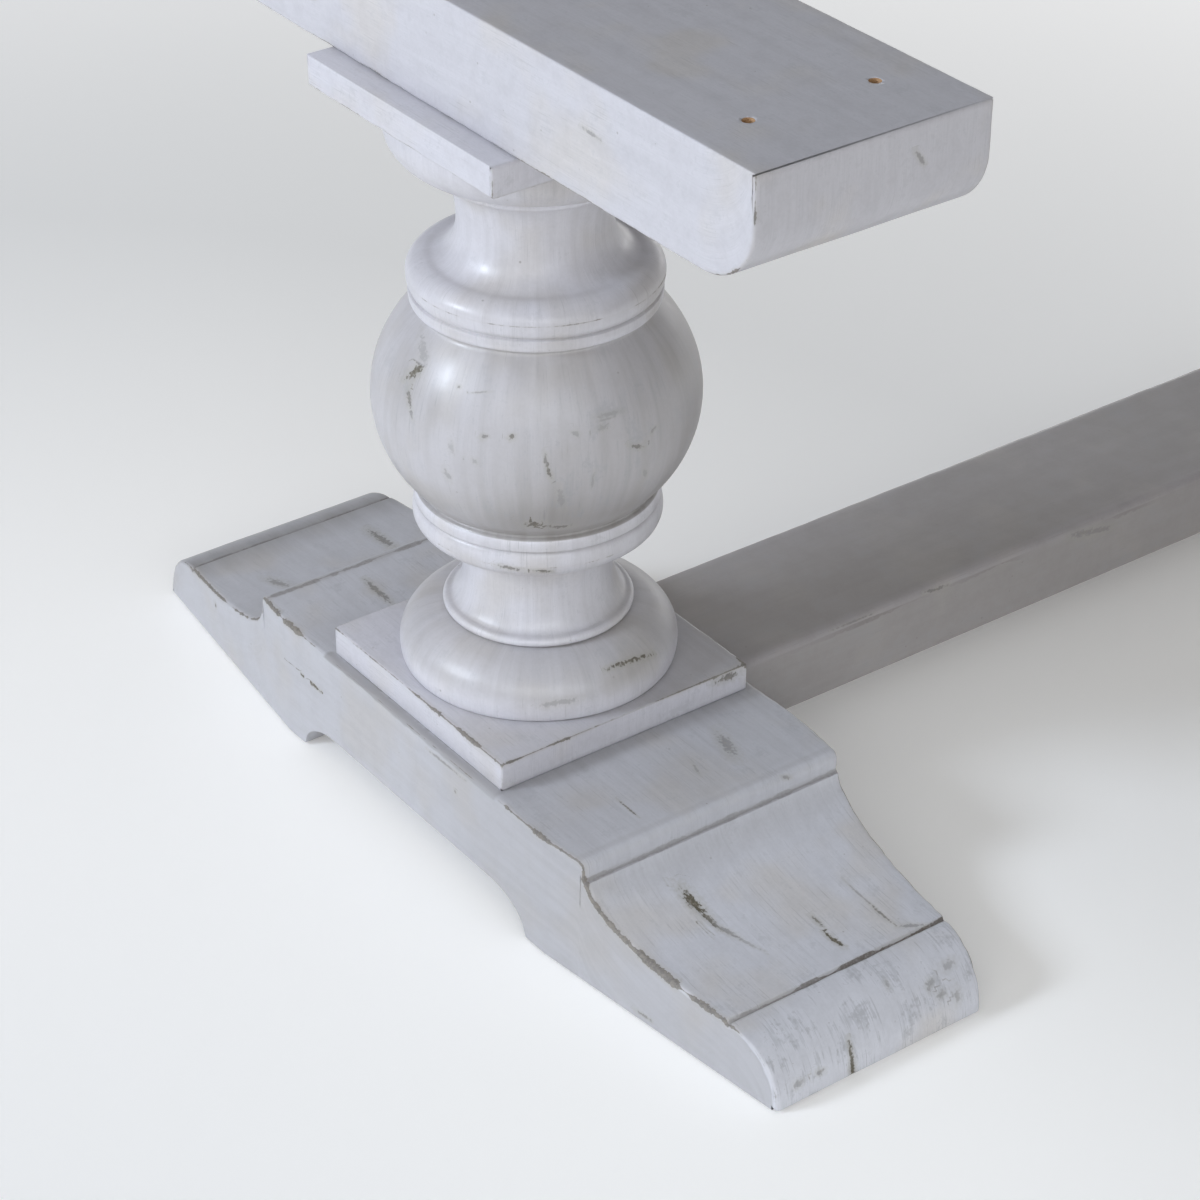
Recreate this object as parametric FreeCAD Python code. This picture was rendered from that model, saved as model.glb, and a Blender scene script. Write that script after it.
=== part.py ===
import FreeCAD, Part
import os
from math import asin, cos, sqrt

# One end leg of a low trestle table: a carved sled foot, a square plinth, a turned ball post,
# a second plinth, a bearer for the table top, and half of the stretcher that joins two legs.
# Millimetres. +Z is up. X runs along the foot, +Y runs along the stretcher.
# The origin is on the floor under the post's axis.

# Whole leg
leg_height = 440.0

# Foot, seen from the side
foot_length = 528.0
foot_height = 68.0
foot_mid_width = 156.0
foot_end_width = 120.0
straight_half = 112.0
lip_half = 140.0
lip_drop = 10.3
lip_quirk = 2.0
lip_round = 4.0
nose_length = 32.0
crease_height = 33.5
crease_width = 2.4
crease_depth = 1.2
nose_height = 32.6
arch_height = 18.3
arch_flat_half = 68.0
arch_end = 29.0
foot_edge_round = 2.4
glide_stand = 0.8

# Plinths under and over the post
plinth_side = 145.0
plinth_thick = 15.0
plinth_corner_round = 2.0
plinth_edge_round = 1.4

# Turned post: radii, and the heights of its members on the turner's pattern, counted up from the plinth.
# A taller or lower leg stretches the pattern's heights over the post's length.
base_foot_radius = 65.6
base_radius = 67.7
base_swell_height = 8.0
base_height = 28.0
bead_radius = 46.3
bead_height = 5.2
bead_root = 43.4
neck_radius = 36.0
cove_height = 22.0
neck_height = 40.0
ring_shoulder = 49.0
ring_radius = 59.7
ring_lower_height = 8.5
ring_upper_height = 7.0
ring_quirk = 1.6
collar_radius = 58.9
collar_height = 6.6
collar_round = 1.6
collar_seat = 1.0
ball_radius = 77.5
ball_half_height = 68.2
ball_seat_drop = 49.0

# Bearer that carries the table top
bearer_length = 460.0
bearer_width = 120.0
bearer_thick = 53.8
bearer_nose_length = 34.0
bearer_nose_height = 30.0
bearer_edge_round = 2.0

# Stretcher, the half up to the middle of the table
stretcher_width = 90.0
stretcher_thick = 40.0
stretcher_under = 19.0
stretcher_reach = 515.0
stretcher_edge_round = 3.5
tenon_width = 58.0
tenon_thick = 20.0
tenon_length = 32.0
tenon_clear = 0.15

# Draw rod, washers and nuts
rod_radius = 5.0
rod_bore_radius = 5.5
rod_end_gap = 2.5
rod_tip_chamfer = 1.0
washer_radius = 13.0
washer_thick = 2.0
nut_across_flats = 17.0
nut_height = 8.0
nut_pocket_radius = 14.5
nut_pocket_depth = 15.0

# Dowels that stop the post from turning
dowel_radius = 5.0
dowel_clear = 0.1
dowel_offset = 40.0
dowel_in_wood = 22.0
dowel_in_post = 20.0
dowel_tip_chamfer = 1.0
dowel_hole_spare = 1.0

# Screws that hold the stretcher's tenon, driven up from the arch
screw_radius = 2.4
screw_head_radius = 4.6
screw_head_height = 3.0
screw_head_sink = 2.0
screw_length = 28.0
screw_offset = 18.0
screw_point = 4.0
screw_clear = 0.1

# Screw holes for the table top
top_hole_radius = 2.75
top_hole_spacing_x = 380.0
top_hole_spacing_y = 64.0
top_pocket_radius = 7.0
top_hole_land = 22.0

# Nylon glides under the foot
glide_radius = 12.0
glide_recess = 2.0
glide_edge_round = 0.5
glide_pin_radius = 2.5
glide_pin_length = 14.0
glide_from_end = 79.0
glide_from_side = 19.4
glide_clear = 0.2

# Heights that follow
pad_z = glide_stand
foot_top_z = foot_height
arch_z = arch_height
post_z = foot_top_z + plinth_thick
bearer_z = leg_height - bearer_thick
post_top_z = bearer_z - plinth_thick
ball_centre_z = (post_z + post_top_z) / 2
pattern_base = base_height + bead_height + neck_height
pattern_ring = ring_lower_height + ring_upper_height + ring_quirk / 2 + collar_height - collar_seat
stretch = (ball_centre_z - post_z) / (pattern_base + pattern_ring + ball_seat_drop)
swell_z = post_z + base_swell_height * stretch
base_top_z = post_z + base_height * stretch
bead_top_z = base_top_z + bead_height * stretch
cove_z = bead_top_z + cove_height * stretch
neck_top_z = post_z + pattern_base * stretch
ring_mid_z = neck_top_z + ring_lower_height * stretch
ring_top_z = ring_mid_z + ring_upper_height * stretch
quirk_z = ring_top_z + ring_quirk / 2 * stretch
collar_top_z = quirk_z + collar_height * stretch
seat_z = ball_centre_z - ball_seat_drop * stretch
lower_washer_z = arch_z + nut_pocket_depth - washer_thick
lower_nut_z = lower_washer_z - nut_height
upper_washer_z = leg_height - nut_pocket_depth
upper_nut_z = upper_washer_z + washer_thick
tenon_z = stretcher_under + (stretcher_thick - tenon_thick) / 2
foot_side_y = foot_mid_width / 2
crease_half = foot_length / 2 - nose_length
glide_x = foot_length / 2 - glide_from_end

POST_AXIS = FreeCAD.Vector(0, 0, 1)
ACROSS = FreeCAD.Vector(0, 1, 0)


def xz(x, z):
    return FreeCAD.Vector(x, 0, z)


def line(a, b):
    return Part.makeLine(a, b)


def conic(start, corner, end, weight):
    """Arc of an ellipse from start to end whose end tangents meet at corner."""
    curve = Part.BSplineCurve()
    curve.buildFromPolesMultsKnots([start, corner, end], [3, 3], [0, 1], False, 2, [1, weight, 1])
    return curve.toShape()


def quarter(start, corner, end):
    return conic(start, corner, end, sqrt(0.5))


def cylinder(radius, height, x, y, z, direction=POST_AXIS):
    return Part.makeCylinder(radius, height, FreeCAD.Vector(x, y, z), direction)


def box_between(low, high):
    size = high - low
    return Part.makeBox(size.x, size.y, size.z, low)


def round_edges(shape, radius, wanted):
    edges = [e for e in shape.Edges if wanted(e.CenterOfMass, e)]
    return shape.makeFillet(radius, edges)


def foot_half_width(x):
    """Half the foot's width in plan: straight in the middle, then tapering to the ends."""
    along = max(0.0, abs(x) - straight_half) / (foot_length / 2 - straight_half)
    return (foot_mid_width + (foot_end_width - foot_mid_width) * along) / 2


def foot_side_outline():
    """Edges of the right half of the foot's side view, from the middle of its top to its underside."""
    end = foot_length / 2
    lip_z = foot_top_z - lip_drop
    sweep_x = lip_half + lip_quirk
    groove_a = crease_half - crease_width / 2
    groove_b = crease_half + crease_width / 2
    groove_z = min(crease_height, nose_height) - crease_depth
    pad_x = arch_flat_half + arch_end
    return [
        line(xz(0, foot_top_z), xz(lip_half - lip_round, foot_top_z)),
        quarter(xz(lip_half - lip_round, foot_top_z), xz(lip_half, foot_top_z),
                xz(lip_half, foot_top_z - lip_round)),
        line(xz(lip_half, foot_top_z - lip_round), xz(lip_half, lip_z)),
        line(xz(lip_half, lip_z), xz(sweep_x, lip_z)),
        quarter(xz(sweep_x, lip_z), xz(sweep_x, crease_height), xz(groove_a, crease_height)),
        line(xz(groove_a, crease_height), xz(crease_half, groove_z)),
        line(xz(crease_half, groove_z), xz(groove_b, nose_height)),
        quarter(xz(groove_b, nose_height), xz(end, nose_height), xz(end, pad_z)),
        line(xz(end, pad_z), xz(pad_x, pad_z)),
        quarter(xz(pad_x, pad_z), xz(pad_x, arch_z), xz(arch_flat_half, arch_z)),
        line(xz(arch_flat_half, arch_z), xz(0, arch_z)),
    ]


def foot_side_face():
    half = foot_side_outline()
    other = [e.mirror(xz(0, 0), FreeCAD.Vector(1, 0, 0)) for e in half]
    return Part.Face(Part.Wire(Part.__sortEdges__(half + other)))


def foot_plan_face():
    end = foot_length / 2
    corners = [(-end, foot_end_width / 2), (-straight_half, foot_side_y), (straight_half, foot_side_y),
               (end, foot_end_width / 2), (end, -foot_end_width / 2), (straight_half, -foot_side_y),
               (-straight_half, -foot_side_y), (-end, -foot_end_width / 2)]
    points = [FreeCAD.Vector(x, y, 0) for x, y in corners]
    return Part.Face(Part.makePolygon(points + points[:1]))


def foot_blank():
    """The side view sawn through the full width, then both sides tapered in plan."""
    side = foot_side_face()
    side.translate(ACROSS * -foot_mid_width)
    slab = side.extrude(ACROSS * 2 * foot_mid_width)
    plan = foot_plan_face().extrude(POST_AXIS * 2 * foot_height)
    blank = slab.common(plan).removeSplitter()
    return round_edges(blank, foot_edge_round, on_upper_side_edge)


def on_upper_side_edge(middle, edge):
    """True for the edges where the foot's two sides meet its top, sweeps and noses."""
    beside = abs(abs(middle.y) - foot_half_width(middle.x)) < foot_edge_round / 2
    above = middle.z > arch_z + foot_edge_round or abs(middle.x) > crease_half
    standing = abs(middle.x) > foot_length / 2 - foot_edge_round
    return beside and above and middle.z > pad_z + foot_edge_round and not standing


def make_foot():
    cuts = [cylinder(rod_bore_radius, foot_height, 0, 0, arch_z),
            cylinder(nut_pocket_radius, nut_pocket_depth, 0, 0, arch_z),
            tenon_block(tenon_clear)]
    cuts += dowel_holes(foot_top_z - dowel_in_wood - dowel_hole_spare, dowel_in_wood + dowel_hole_spare)
    cuts += screw_holes_in_foot()
    for x, y in glide_places():
        cuts.append(cylinder(glide_radius + glide_clear, glide_recess, x, y, pad_z))
        cuts.append(cylinder(glide_pin_radius, glide_pin_length, x, y, pad_z + glide_recess))
    return foot_blank().cut(cuts)


def plinth(z):
    half = plinth_side / 2
    block = box_between(FreeCAD.Vector(-half, -half, z), FreeCAD.Vector(half, half, z + plinth_thick))
    block = round_edges(block, plinth_corner_round, lambda m, e: abs(m.x) > half - 1 and abs(m.y) > half - 1)
    cuts = [cylinder(rod_bore_radius, plinth_thick, 0, 0, z)] + dowel_holes(z, plinth_thick)
    return block, cuts


def make_lower_plinth():
    block, cuts = plinth(foot_top_z)
    top = post_z
    return round_edges(block, plinth_edge_round, lambda m, e: m.z > top - 0.01).cut(cuts)


def make_upper_plinth():
    block, cuts = plinth(post_top_z)
    return round_edges(block, plinth_edge_round, lambda m, e: m.z < post_top_z + 0.01).cut(cuts)


def lower_post_outline():
    """Turned members from the plinth up to the ball: base, bead, coved neck, ring and collar."""
    bead_mid_z = (base_top_z + bead_top_z) / 2
    quirk_r = collar_radius - ring_quirk
    collar_z = collar_top_z - collar_round * stretch
    return [
        line(xz(0, post_z), xz(base_foot_radius, post_z)),
        quarter(xz(base_foot_radius, post_z), xz(base_radius, post_z), xz(base_radius, swell_z)),
        quarter(xz(base_radius, swell_z), xz(base_radius, base_top_z), xz(bead_root, base_top_z)),
        quarter(xz(bead_root, base_top_z), xz(bead_radius, base_top_z), xz(bead_radius, bead_mid_z)),
        quarter(xz(bead_radius, bead_mid_z), xz(bead_radius, bead_top_z), xz(bead_root, bead_top_z)),
        quarter(xz(bead_root, bead_top_z), xz(neck_radius, bead_top_z), xz(neck_radius, cove_z)),
        quarter(xz(neck_radius, cove_z), xz(neck_radius, neck_top_z), xz(ring_shoulder, neck_top_z)),
        quarter(xz(ring_shoulder, neck_top_z), xz(ring_radius, neck_top_z), xz(ring_radius, ring_mid_z)),
        quarter(xz(ring_radius, ring_mid_z), xz(ring_radius, ring_top_z), xz(quirk_r, ring_top_z)),
        line(xz(quirk_r, ring_top_z), xz(collar_radius, quirk_z)),
        line(xz(collar_radius, quirk_z), xz(collar_radius, collar_z)),
        quarter(xz(collar_radius, collar_z), xz(collar_radius, collar_top_z),
                xz(collar_radius - collar_round, collar_top_z)),
        line(xz(collar_radius - collar_round, collar_top_z), xz(ball_edge_radius(), seat_z)),
    ]


def ball_edge_radius():
    return ball_radius * cos(asin(ball_seat_drop / ball_half_height))


def ball_outline():
    """The slightly flattened ball, from its lower seat to its upper seat."""
    angle = asin(ball_seat_drop / ball_half_height)
    edge = ball_edge_radius()
    return conic(xz(edge, seat_z), xz(ball_radius / cos(angle), ball_centre_z),
                 xz(edge, 2 * ball_centre_z - seat_z), cos(angle))


def make_post():
    lower = lower_post_outline()
    upper = [e.mirror(xz(0, ball_centre_z), POST_AXIS) for e in lower]
    axis = line(xz(0, post_z), xz(0, post_top_z))
    wire = Part.Wire(Part.__sortEdges__(lower + [ball_outline()] + upper + [axis]))
    turned = Part.Face(wire).revolve(xz(0, 0), POST_AXIS, 360)
    depth = dowel_in_post + dowel_hole_spare
    cuts = [cylinder(rod_bore_radius, post_top_z - post_z, 0, 0, post_z)]
    cuts += dowel_holes(post_z, depth) + dowel_holes(post_top_z - depth, depth)
    return turned.cut(cuts)


def bearer_outline():
    """Edges of the bearer's side view: square above, with a quarter round under each end."""
    end = bearer_length / 2
    nose_x = end - bearer_nose_length
    nose_z = bearer_z + bearer_nose_height
    right = [
        line(xz(0, bearer_z), xz(nose_x, bearer_z)),
        quarter(xz(nose_x, bearer_z), xz(end, bearer_z), xz(end, nose_z)),
        line(xz(end, nose_z), xz(end, leg_height)),
        line(xz(end, leg_height), xz(0, leg_height)),
    ]
    return right + [e.mirror(xz(0, 0), FreeCAD.Vector(1, 0, 0)) for e in right]


def make_top_bearer():
    half = bearer_width / 2
    side = Part.Face(Part.Wire(Part.__sortEdges__(bearer_outline())))
    side.translate(ACROSS * -half)
    block = side.extrude(ACROSS * bearer_width).removeSplitter()
    block = round_edges(block, bearer_edge_round, lambda m, e: abs(m.y) > half - 0.01 and m.z < leg_height - 1)
    cuts = [cylinder(rod_bore_radius, leg_height - bearer_z, 0, 0, bearer_z),
            cylinder(nut_pocket_radius, nut_pocket_depth, 0, 0, upper_washer_z)]
    cuts += dowel_holes(bearer_z, dowel_in_wood + dowel_hole_spare)
    pocket_depth = leg_height - top_hole_land - bearer_z
    for x, y in corners_of(top_hole_spacing_x / 2, top_hole_spacing_y / 2):
        cuts.append(cylinder(top_pocket_radius, pocket_depth, x, y, bearer_z))
        cuts.append(cylinder(top_hole_radius, leg_height - bearer_z, x, y, bearer_z))
    return block.cut(cuts)


def corners_of(x, y):
    return [(-x, -y), (x, -y), (-x, y), (x, y)]


def tenon_block(clear):
    """The tenon, or with a clearance round it the mortise that takes it."""
    low = FreeCAD.Vector(-tenon_width / 2 - clear, foot_side_y - tenon_length - clear, tenon_z - clear)
    high = FreeCAD.Vector(tenon_width / 2 + clear, foot_side_y, tenon_z + tenon_thick + clear)
    return box_between(low, high)


def make_stretcher():
    half = stretcher_width / 2
    top = stretcher_under + stretcher_thick
    low = FreeCAD.Vector(-half, foot_side_y, stretcher_under)
    rail = box_between(low, FreeCAD.Vector(half, stretcher_reach, top))
    rail = round_edges(rail, stretcher_edge_round, lambda m, e: abs(m.x) > half - 0.01 and stands_clear(m))
    return rail.fuse(tenon_block(0)).removeSplitter().cut(screw_holes_in_tenon())


def stands_clear(middle):
    """True for the stretcher's long edges, false for the edges of its two ends."""
    return foot_side_y + 1 < middle.y < stretcher_reach - 1


def dowel_holes(z, depth):
    radius = dowel_radius + dowel_clear
    return [cylinder(radius, depth, x, 0, z) for x in (-dowel_offset, dowel_offset)]


def dowel_pair(z, length):
    pins = []
    for x in (-dowel_offset, dowel_offset):
        pin = cylinder(dowel_radius, length, x, 0, z)
        pins.append(pin.makeChamfer(dowel_tip_chamfer, round_rims(pin)))
    return Part.makeCompound(pins)


def make_lower_dowels():
    length = dowel_in_wood + plinth_thick + dowel_in_post + dowel_hole_spare
    return dowel_pair(foot_top_z - dowel_in_wood - dowel_hole_spare, length)


def make_upper_dowels():
    length = dowel_in_wood + plinth_thick + dowel_in_post + dowel_hole_spare
    return dowel_pair(post_top_z - dowel_in_post - dowel_hole_spare, length)


def make_tie_rod():
    bottom = arch_z + rod_end_gap
    rod = cylinder(rod_radius, leg_height - rod_end_gap - bottom, 0, 0, bottom)
    return rod.makeChamfer(rod_tip_chamfer, round_rims(rod))


def round_rims(shape):
    return [e for e in shape.Edges if len(e.Vertexes) == 1]


def washer(z):
    return cylinder(washer_radius, washer_thick, 0, 0, z).cut(cylinder(rod_bore_radius, washer_thick, 0, 0, z))


def nut(z):
    """Hexagon nut with its corners turned off above and below."""
    flat = nut_across_flats / 2
    reach = nut_across_flats / sqrt(3)
    wide = flat + nut_height * sqrt(3)
    turns = [FreeCAD.Rotation(POST_AXIS, 60 * k).multVec(FreeCAD.Vector(reach, 0, z)) for k in range(7)]
    hexagon = Part.Face(Part.makePolygon(turns)).extrude(POST_AXIS * nut_height)
    lower = Part.makeCone(flat, wide, nut_height, FreeCAD.Vector(0, 0, z))
    upper = Part.makeCone(wide, flat, nut_height, FreeCAD.Vector(0, 0, z))
    return hexagon.common(lower).common(upper).cut(cylinder(rod_radius, nut_height, 0, 0, z))


def screw_places():
    y = foot_side_y - tenon_length / 2
    return [(-screw_offset, y), (screw_offset, y)]


def make_stretcher_screws():
    screws = []
    for x, y in screw_places():
        z = arch_z + screw_head_sink
        head = cylinder(screw_head_radius, screw_head_height, x, y, z)
        shank = cylinder(screw_radius, screw_length - screw_point, x, y, z + screw_head_height)
        place = FreeCAD.Vector(x, y, z + screw_head_height + screw_length - screw_point)
        point = Part.makeCone(screw_radius, 0, screw_point, place, POST_AXIS)
        screws.append(head.fuse([shank, point]).removeSplitter())
    return Part.makeCompound(screws)


def screw_holes_in_foot():
    holes = []
    for x, y in screw_places():
        sink = screw_head_sink + screw_head_height
        holes.append(cylinder(screw_head_radius + screw_clear, sink, x, y, arch_z))
        holes.append(cylinder(screw_radius + screw_clear, screw_length + sink, x, y, arch_z))
    return holes


def screw_holes_in_tenon():
    depth = screw_head_sink + screw_head_height + screw_length - (tenon_z - arch_z)
    return [cylinder(screw_radius, depth, x, y, tenon_z) for x, y in screw_places()]


def glide_places():
    return corners_of(glide_x, foot_half_width(glide_x) - glide_from_side)


def make_glide(x, y):
    """A nylon disc with its rim eased and a pin that is tapped into the foot."""
    disc = cylinder(glide_radius, glide_stand + glide_recess, x, y, 0)
    disc = round_edges(disc, glide_edge_round, lambda m, e: len(e.Vertexes) == 1 and m.z < glide_stand / 2)
    return disc.fuse(cylinder(glide_pin_radius, glide_pin_length, x, y, pad_z + glide_recess))


def all_parts():
    parts = {
        "foot": make_foot(),
        "lower_plinth": make_lower_plinth(),
        "turned_post": make_post(),
        "upper_plinth": make_upper_plinth(),
        "top_bearer": make_top_bearer(),
        "stretcher": make_stretcher(),
        "stretcher_screws": make_stretcher_screws(),
        "tie_rod": make_tie_rod(),
        "lower_washer": washer(lower_washer_z),
        "lower_nut": nut(lower_nut_z),
        "upper_washer": washer(upper_washer_z),
        "upper_nut": nut(upper_nut_z),
        "lower_dowels": make_lower_dowels(),
        "upper_dowels": make_upper_dowels(),
    }
    names = ["glide_far_outer", "glide_near_outer", "glide_far_inner", "glide_near_inner"]
    for name, (x, y) in zip(names, glide_places()):
        parts[name] = make_glide(x, y)
    return parts


os.makedirs("parts", exist_ok=True)
for name, shape in all_parts().items():
    shape.exportStep("parts/" + name + ".step")
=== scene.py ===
from itertools import product
from math import asin, cos, pi, sin

import bmesh
import bpy
import numpy as np
from mathutils import Matrix, Vector, kdtree


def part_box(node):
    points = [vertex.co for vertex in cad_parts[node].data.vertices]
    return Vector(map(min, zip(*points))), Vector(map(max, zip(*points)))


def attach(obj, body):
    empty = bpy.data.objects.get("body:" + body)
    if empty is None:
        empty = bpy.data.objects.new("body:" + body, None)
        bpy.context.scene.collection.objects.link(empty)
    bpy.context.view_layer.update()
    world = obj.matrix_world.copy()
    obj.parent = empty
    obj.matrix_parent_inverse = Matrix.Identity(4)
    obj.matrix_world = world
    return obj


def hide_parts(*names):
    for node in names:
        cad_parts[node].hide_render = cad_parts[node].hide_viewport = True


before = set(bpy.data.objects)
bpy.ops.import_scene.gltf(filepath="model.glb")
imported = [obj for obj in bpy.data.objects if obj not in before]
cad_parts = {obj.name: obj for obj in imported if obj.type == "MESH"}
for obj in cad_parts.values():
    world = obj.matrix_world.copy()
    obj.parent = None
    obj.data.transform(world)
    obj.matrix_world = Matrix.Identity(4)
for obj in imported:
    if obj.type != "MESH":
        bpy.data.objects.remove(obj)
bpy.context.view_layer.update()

# Carved foot
# One thick hardwood plank laid on its face. Its side outline is bandsawn, both ends are planed to a taper,
# and the lip and the crease are scratched across it before the antique white paint goes on.
foot_low, foot_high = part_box("foot")
foot_end = foot_high.x
foot_side = foot_high.y
foot_top = foot_high.z
foot_pad = foot_low.z
foot_end_side = 0.060
foot_straight = 0.112
lip_x = 0.140
lip_drop = 0.0103
lip_round = 0.004
lip_ledge = 0.002
crease_x = 0.232
crease_z = 0.0335
crease_half = 0.0012
crease_bottom = 0.0314
nose_z = 0.0326
arch_z = 0.0183
arch_flat = 0.068
arch_pad = 0.097
toe_round = 0.0008
foot_arris = 0.0022
foot_rows = {"carved": 78, "plain": 26, "side": 12}
foot_step = 0.0018
board_turn = 0.24
walk = 0.0001
paint_fields = {"grain": "FLOAT_VECTOR", "scuff": "FLOAT_VECTOR", "arris": "FLOAT", "worn": "FLOAT",
                "crease": "FLOAT", "crease_glaze_and_shade": "FLOAT", "rub": "FLOAT", "stain_and_shade": "FLOAT"}


def scatter(cells, seed):
    """A fixed random number from -1 to 1 for each cell of a grid."""
    mixer = np.array([73856093, 19349663, 83492791][:cells.shape[1]])
    code = (cells @ mixer + seed * 6542989) & 0x7FFFFFFF
    code = ((code ^ (code >> 13)) * 1274126177) & 0x7FFFFFFF
    code = ((code ^ (code >> 15)) * 668265263) & 0x7FFFFFFF
    return ((code >> 7) & 0xFFFF) / 32767.5 - 1


def ripple(places, size, seed):
    """A smooth random height from -1 to 1 at each place, with waves about size across."""
    scaled = np.asarray(places, float) / size
    cell = np.floor(scaled).astype(np.int64)
    part = scaled - cell
    ease = part * part * (3 - 2 * part)
    height = np.zeros(len(scaled))
    for corner in product((0, 1), repeat=scaled.shape[1]):
        share = np.prod(np.where(corner, ease, 1 - ease), axis=1)
        height += share * scatter(cell + corner, seed)
    return height


def quarter(start, corner, end, count=48):
    """Quarter of an ellipse from start to end, with its end tangents meeting at corner."""
    turn = np.linspace(0, pi / 2, count)[:, None]
    centre = np.array(start) + np.array(end) - np.array(corner)
    return centre + (np.array(start) - centre) * np.cos(turn) + (np.array(end) - centre) * np.sin(turn)


def chain(*parts):
    return np.vstack([np.atleast_2d(part) for part in parts])


def mirrored(half):
    """A whole outline from its right half, which starts in the middle."""
    return np.vstack([half[::-1] * (-1, 1), half])


def trace(outline, soften):
    """Walks an outline in short steps with its corners softened: distances, places and headings."""
    run = np.concatenate(([0], np.cumsum(np.linalg.norm(np.diff(outline, axis=0), axis=1))))
    along = np.arange(0, run[-1], walk)
    path = np.column_stack([np.interp(along, run, outline[:, k]) for k in (0, 1)])
    reach = int(4 * soften / walk)
    spread = np.exp(-0.5 * (np.arange(-reach, reach + 1) * walk / soften) ** 2)
    spread /= spread.sum()
    padded = np.pad(path, ((reach, reach), (0, 0)), mode="reflect", reflect_type="odd")
    path = np.column_stack([np.convolve(padded[:, k], spread, "valid") for k in (0, 1)])
    heading = np.gradient(path, axis=0)
    heading /= np.linalg.norm(heading, axis=1)[:, None]
    return along, path, heading


def columns(along, heading, step, turn):
    """Distances along an outline for a mesh: one every step, and closer together where it bends."""
    angle = np.unwrap(np.arctan2(heading[:, 1], heading[:, 0]))
    effort = np.concatenate(([0], np.cumsum(np.diff(along) / step + np.abs(np.diff(angle)) / turn)))
    return np.interp(np.linspace(0, effort[-1], int(effort[-1]) + 1), effort, along)


def read(at, along, values):
    return np.column_stack([np.interp(at, along, values[:, k]) for k in range(values.shape[1])])


def progress(along, path):
    """How far each place of an outline has come, from 0 to 1, mostly by its length along the piece."""
    gone = np.maximum.accumulate(path[:, 0] - path[0, 0])
    return 0.9 * gone / np.ptp(path[:, 0]) + 0.1 * along / along[-1]


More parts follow.
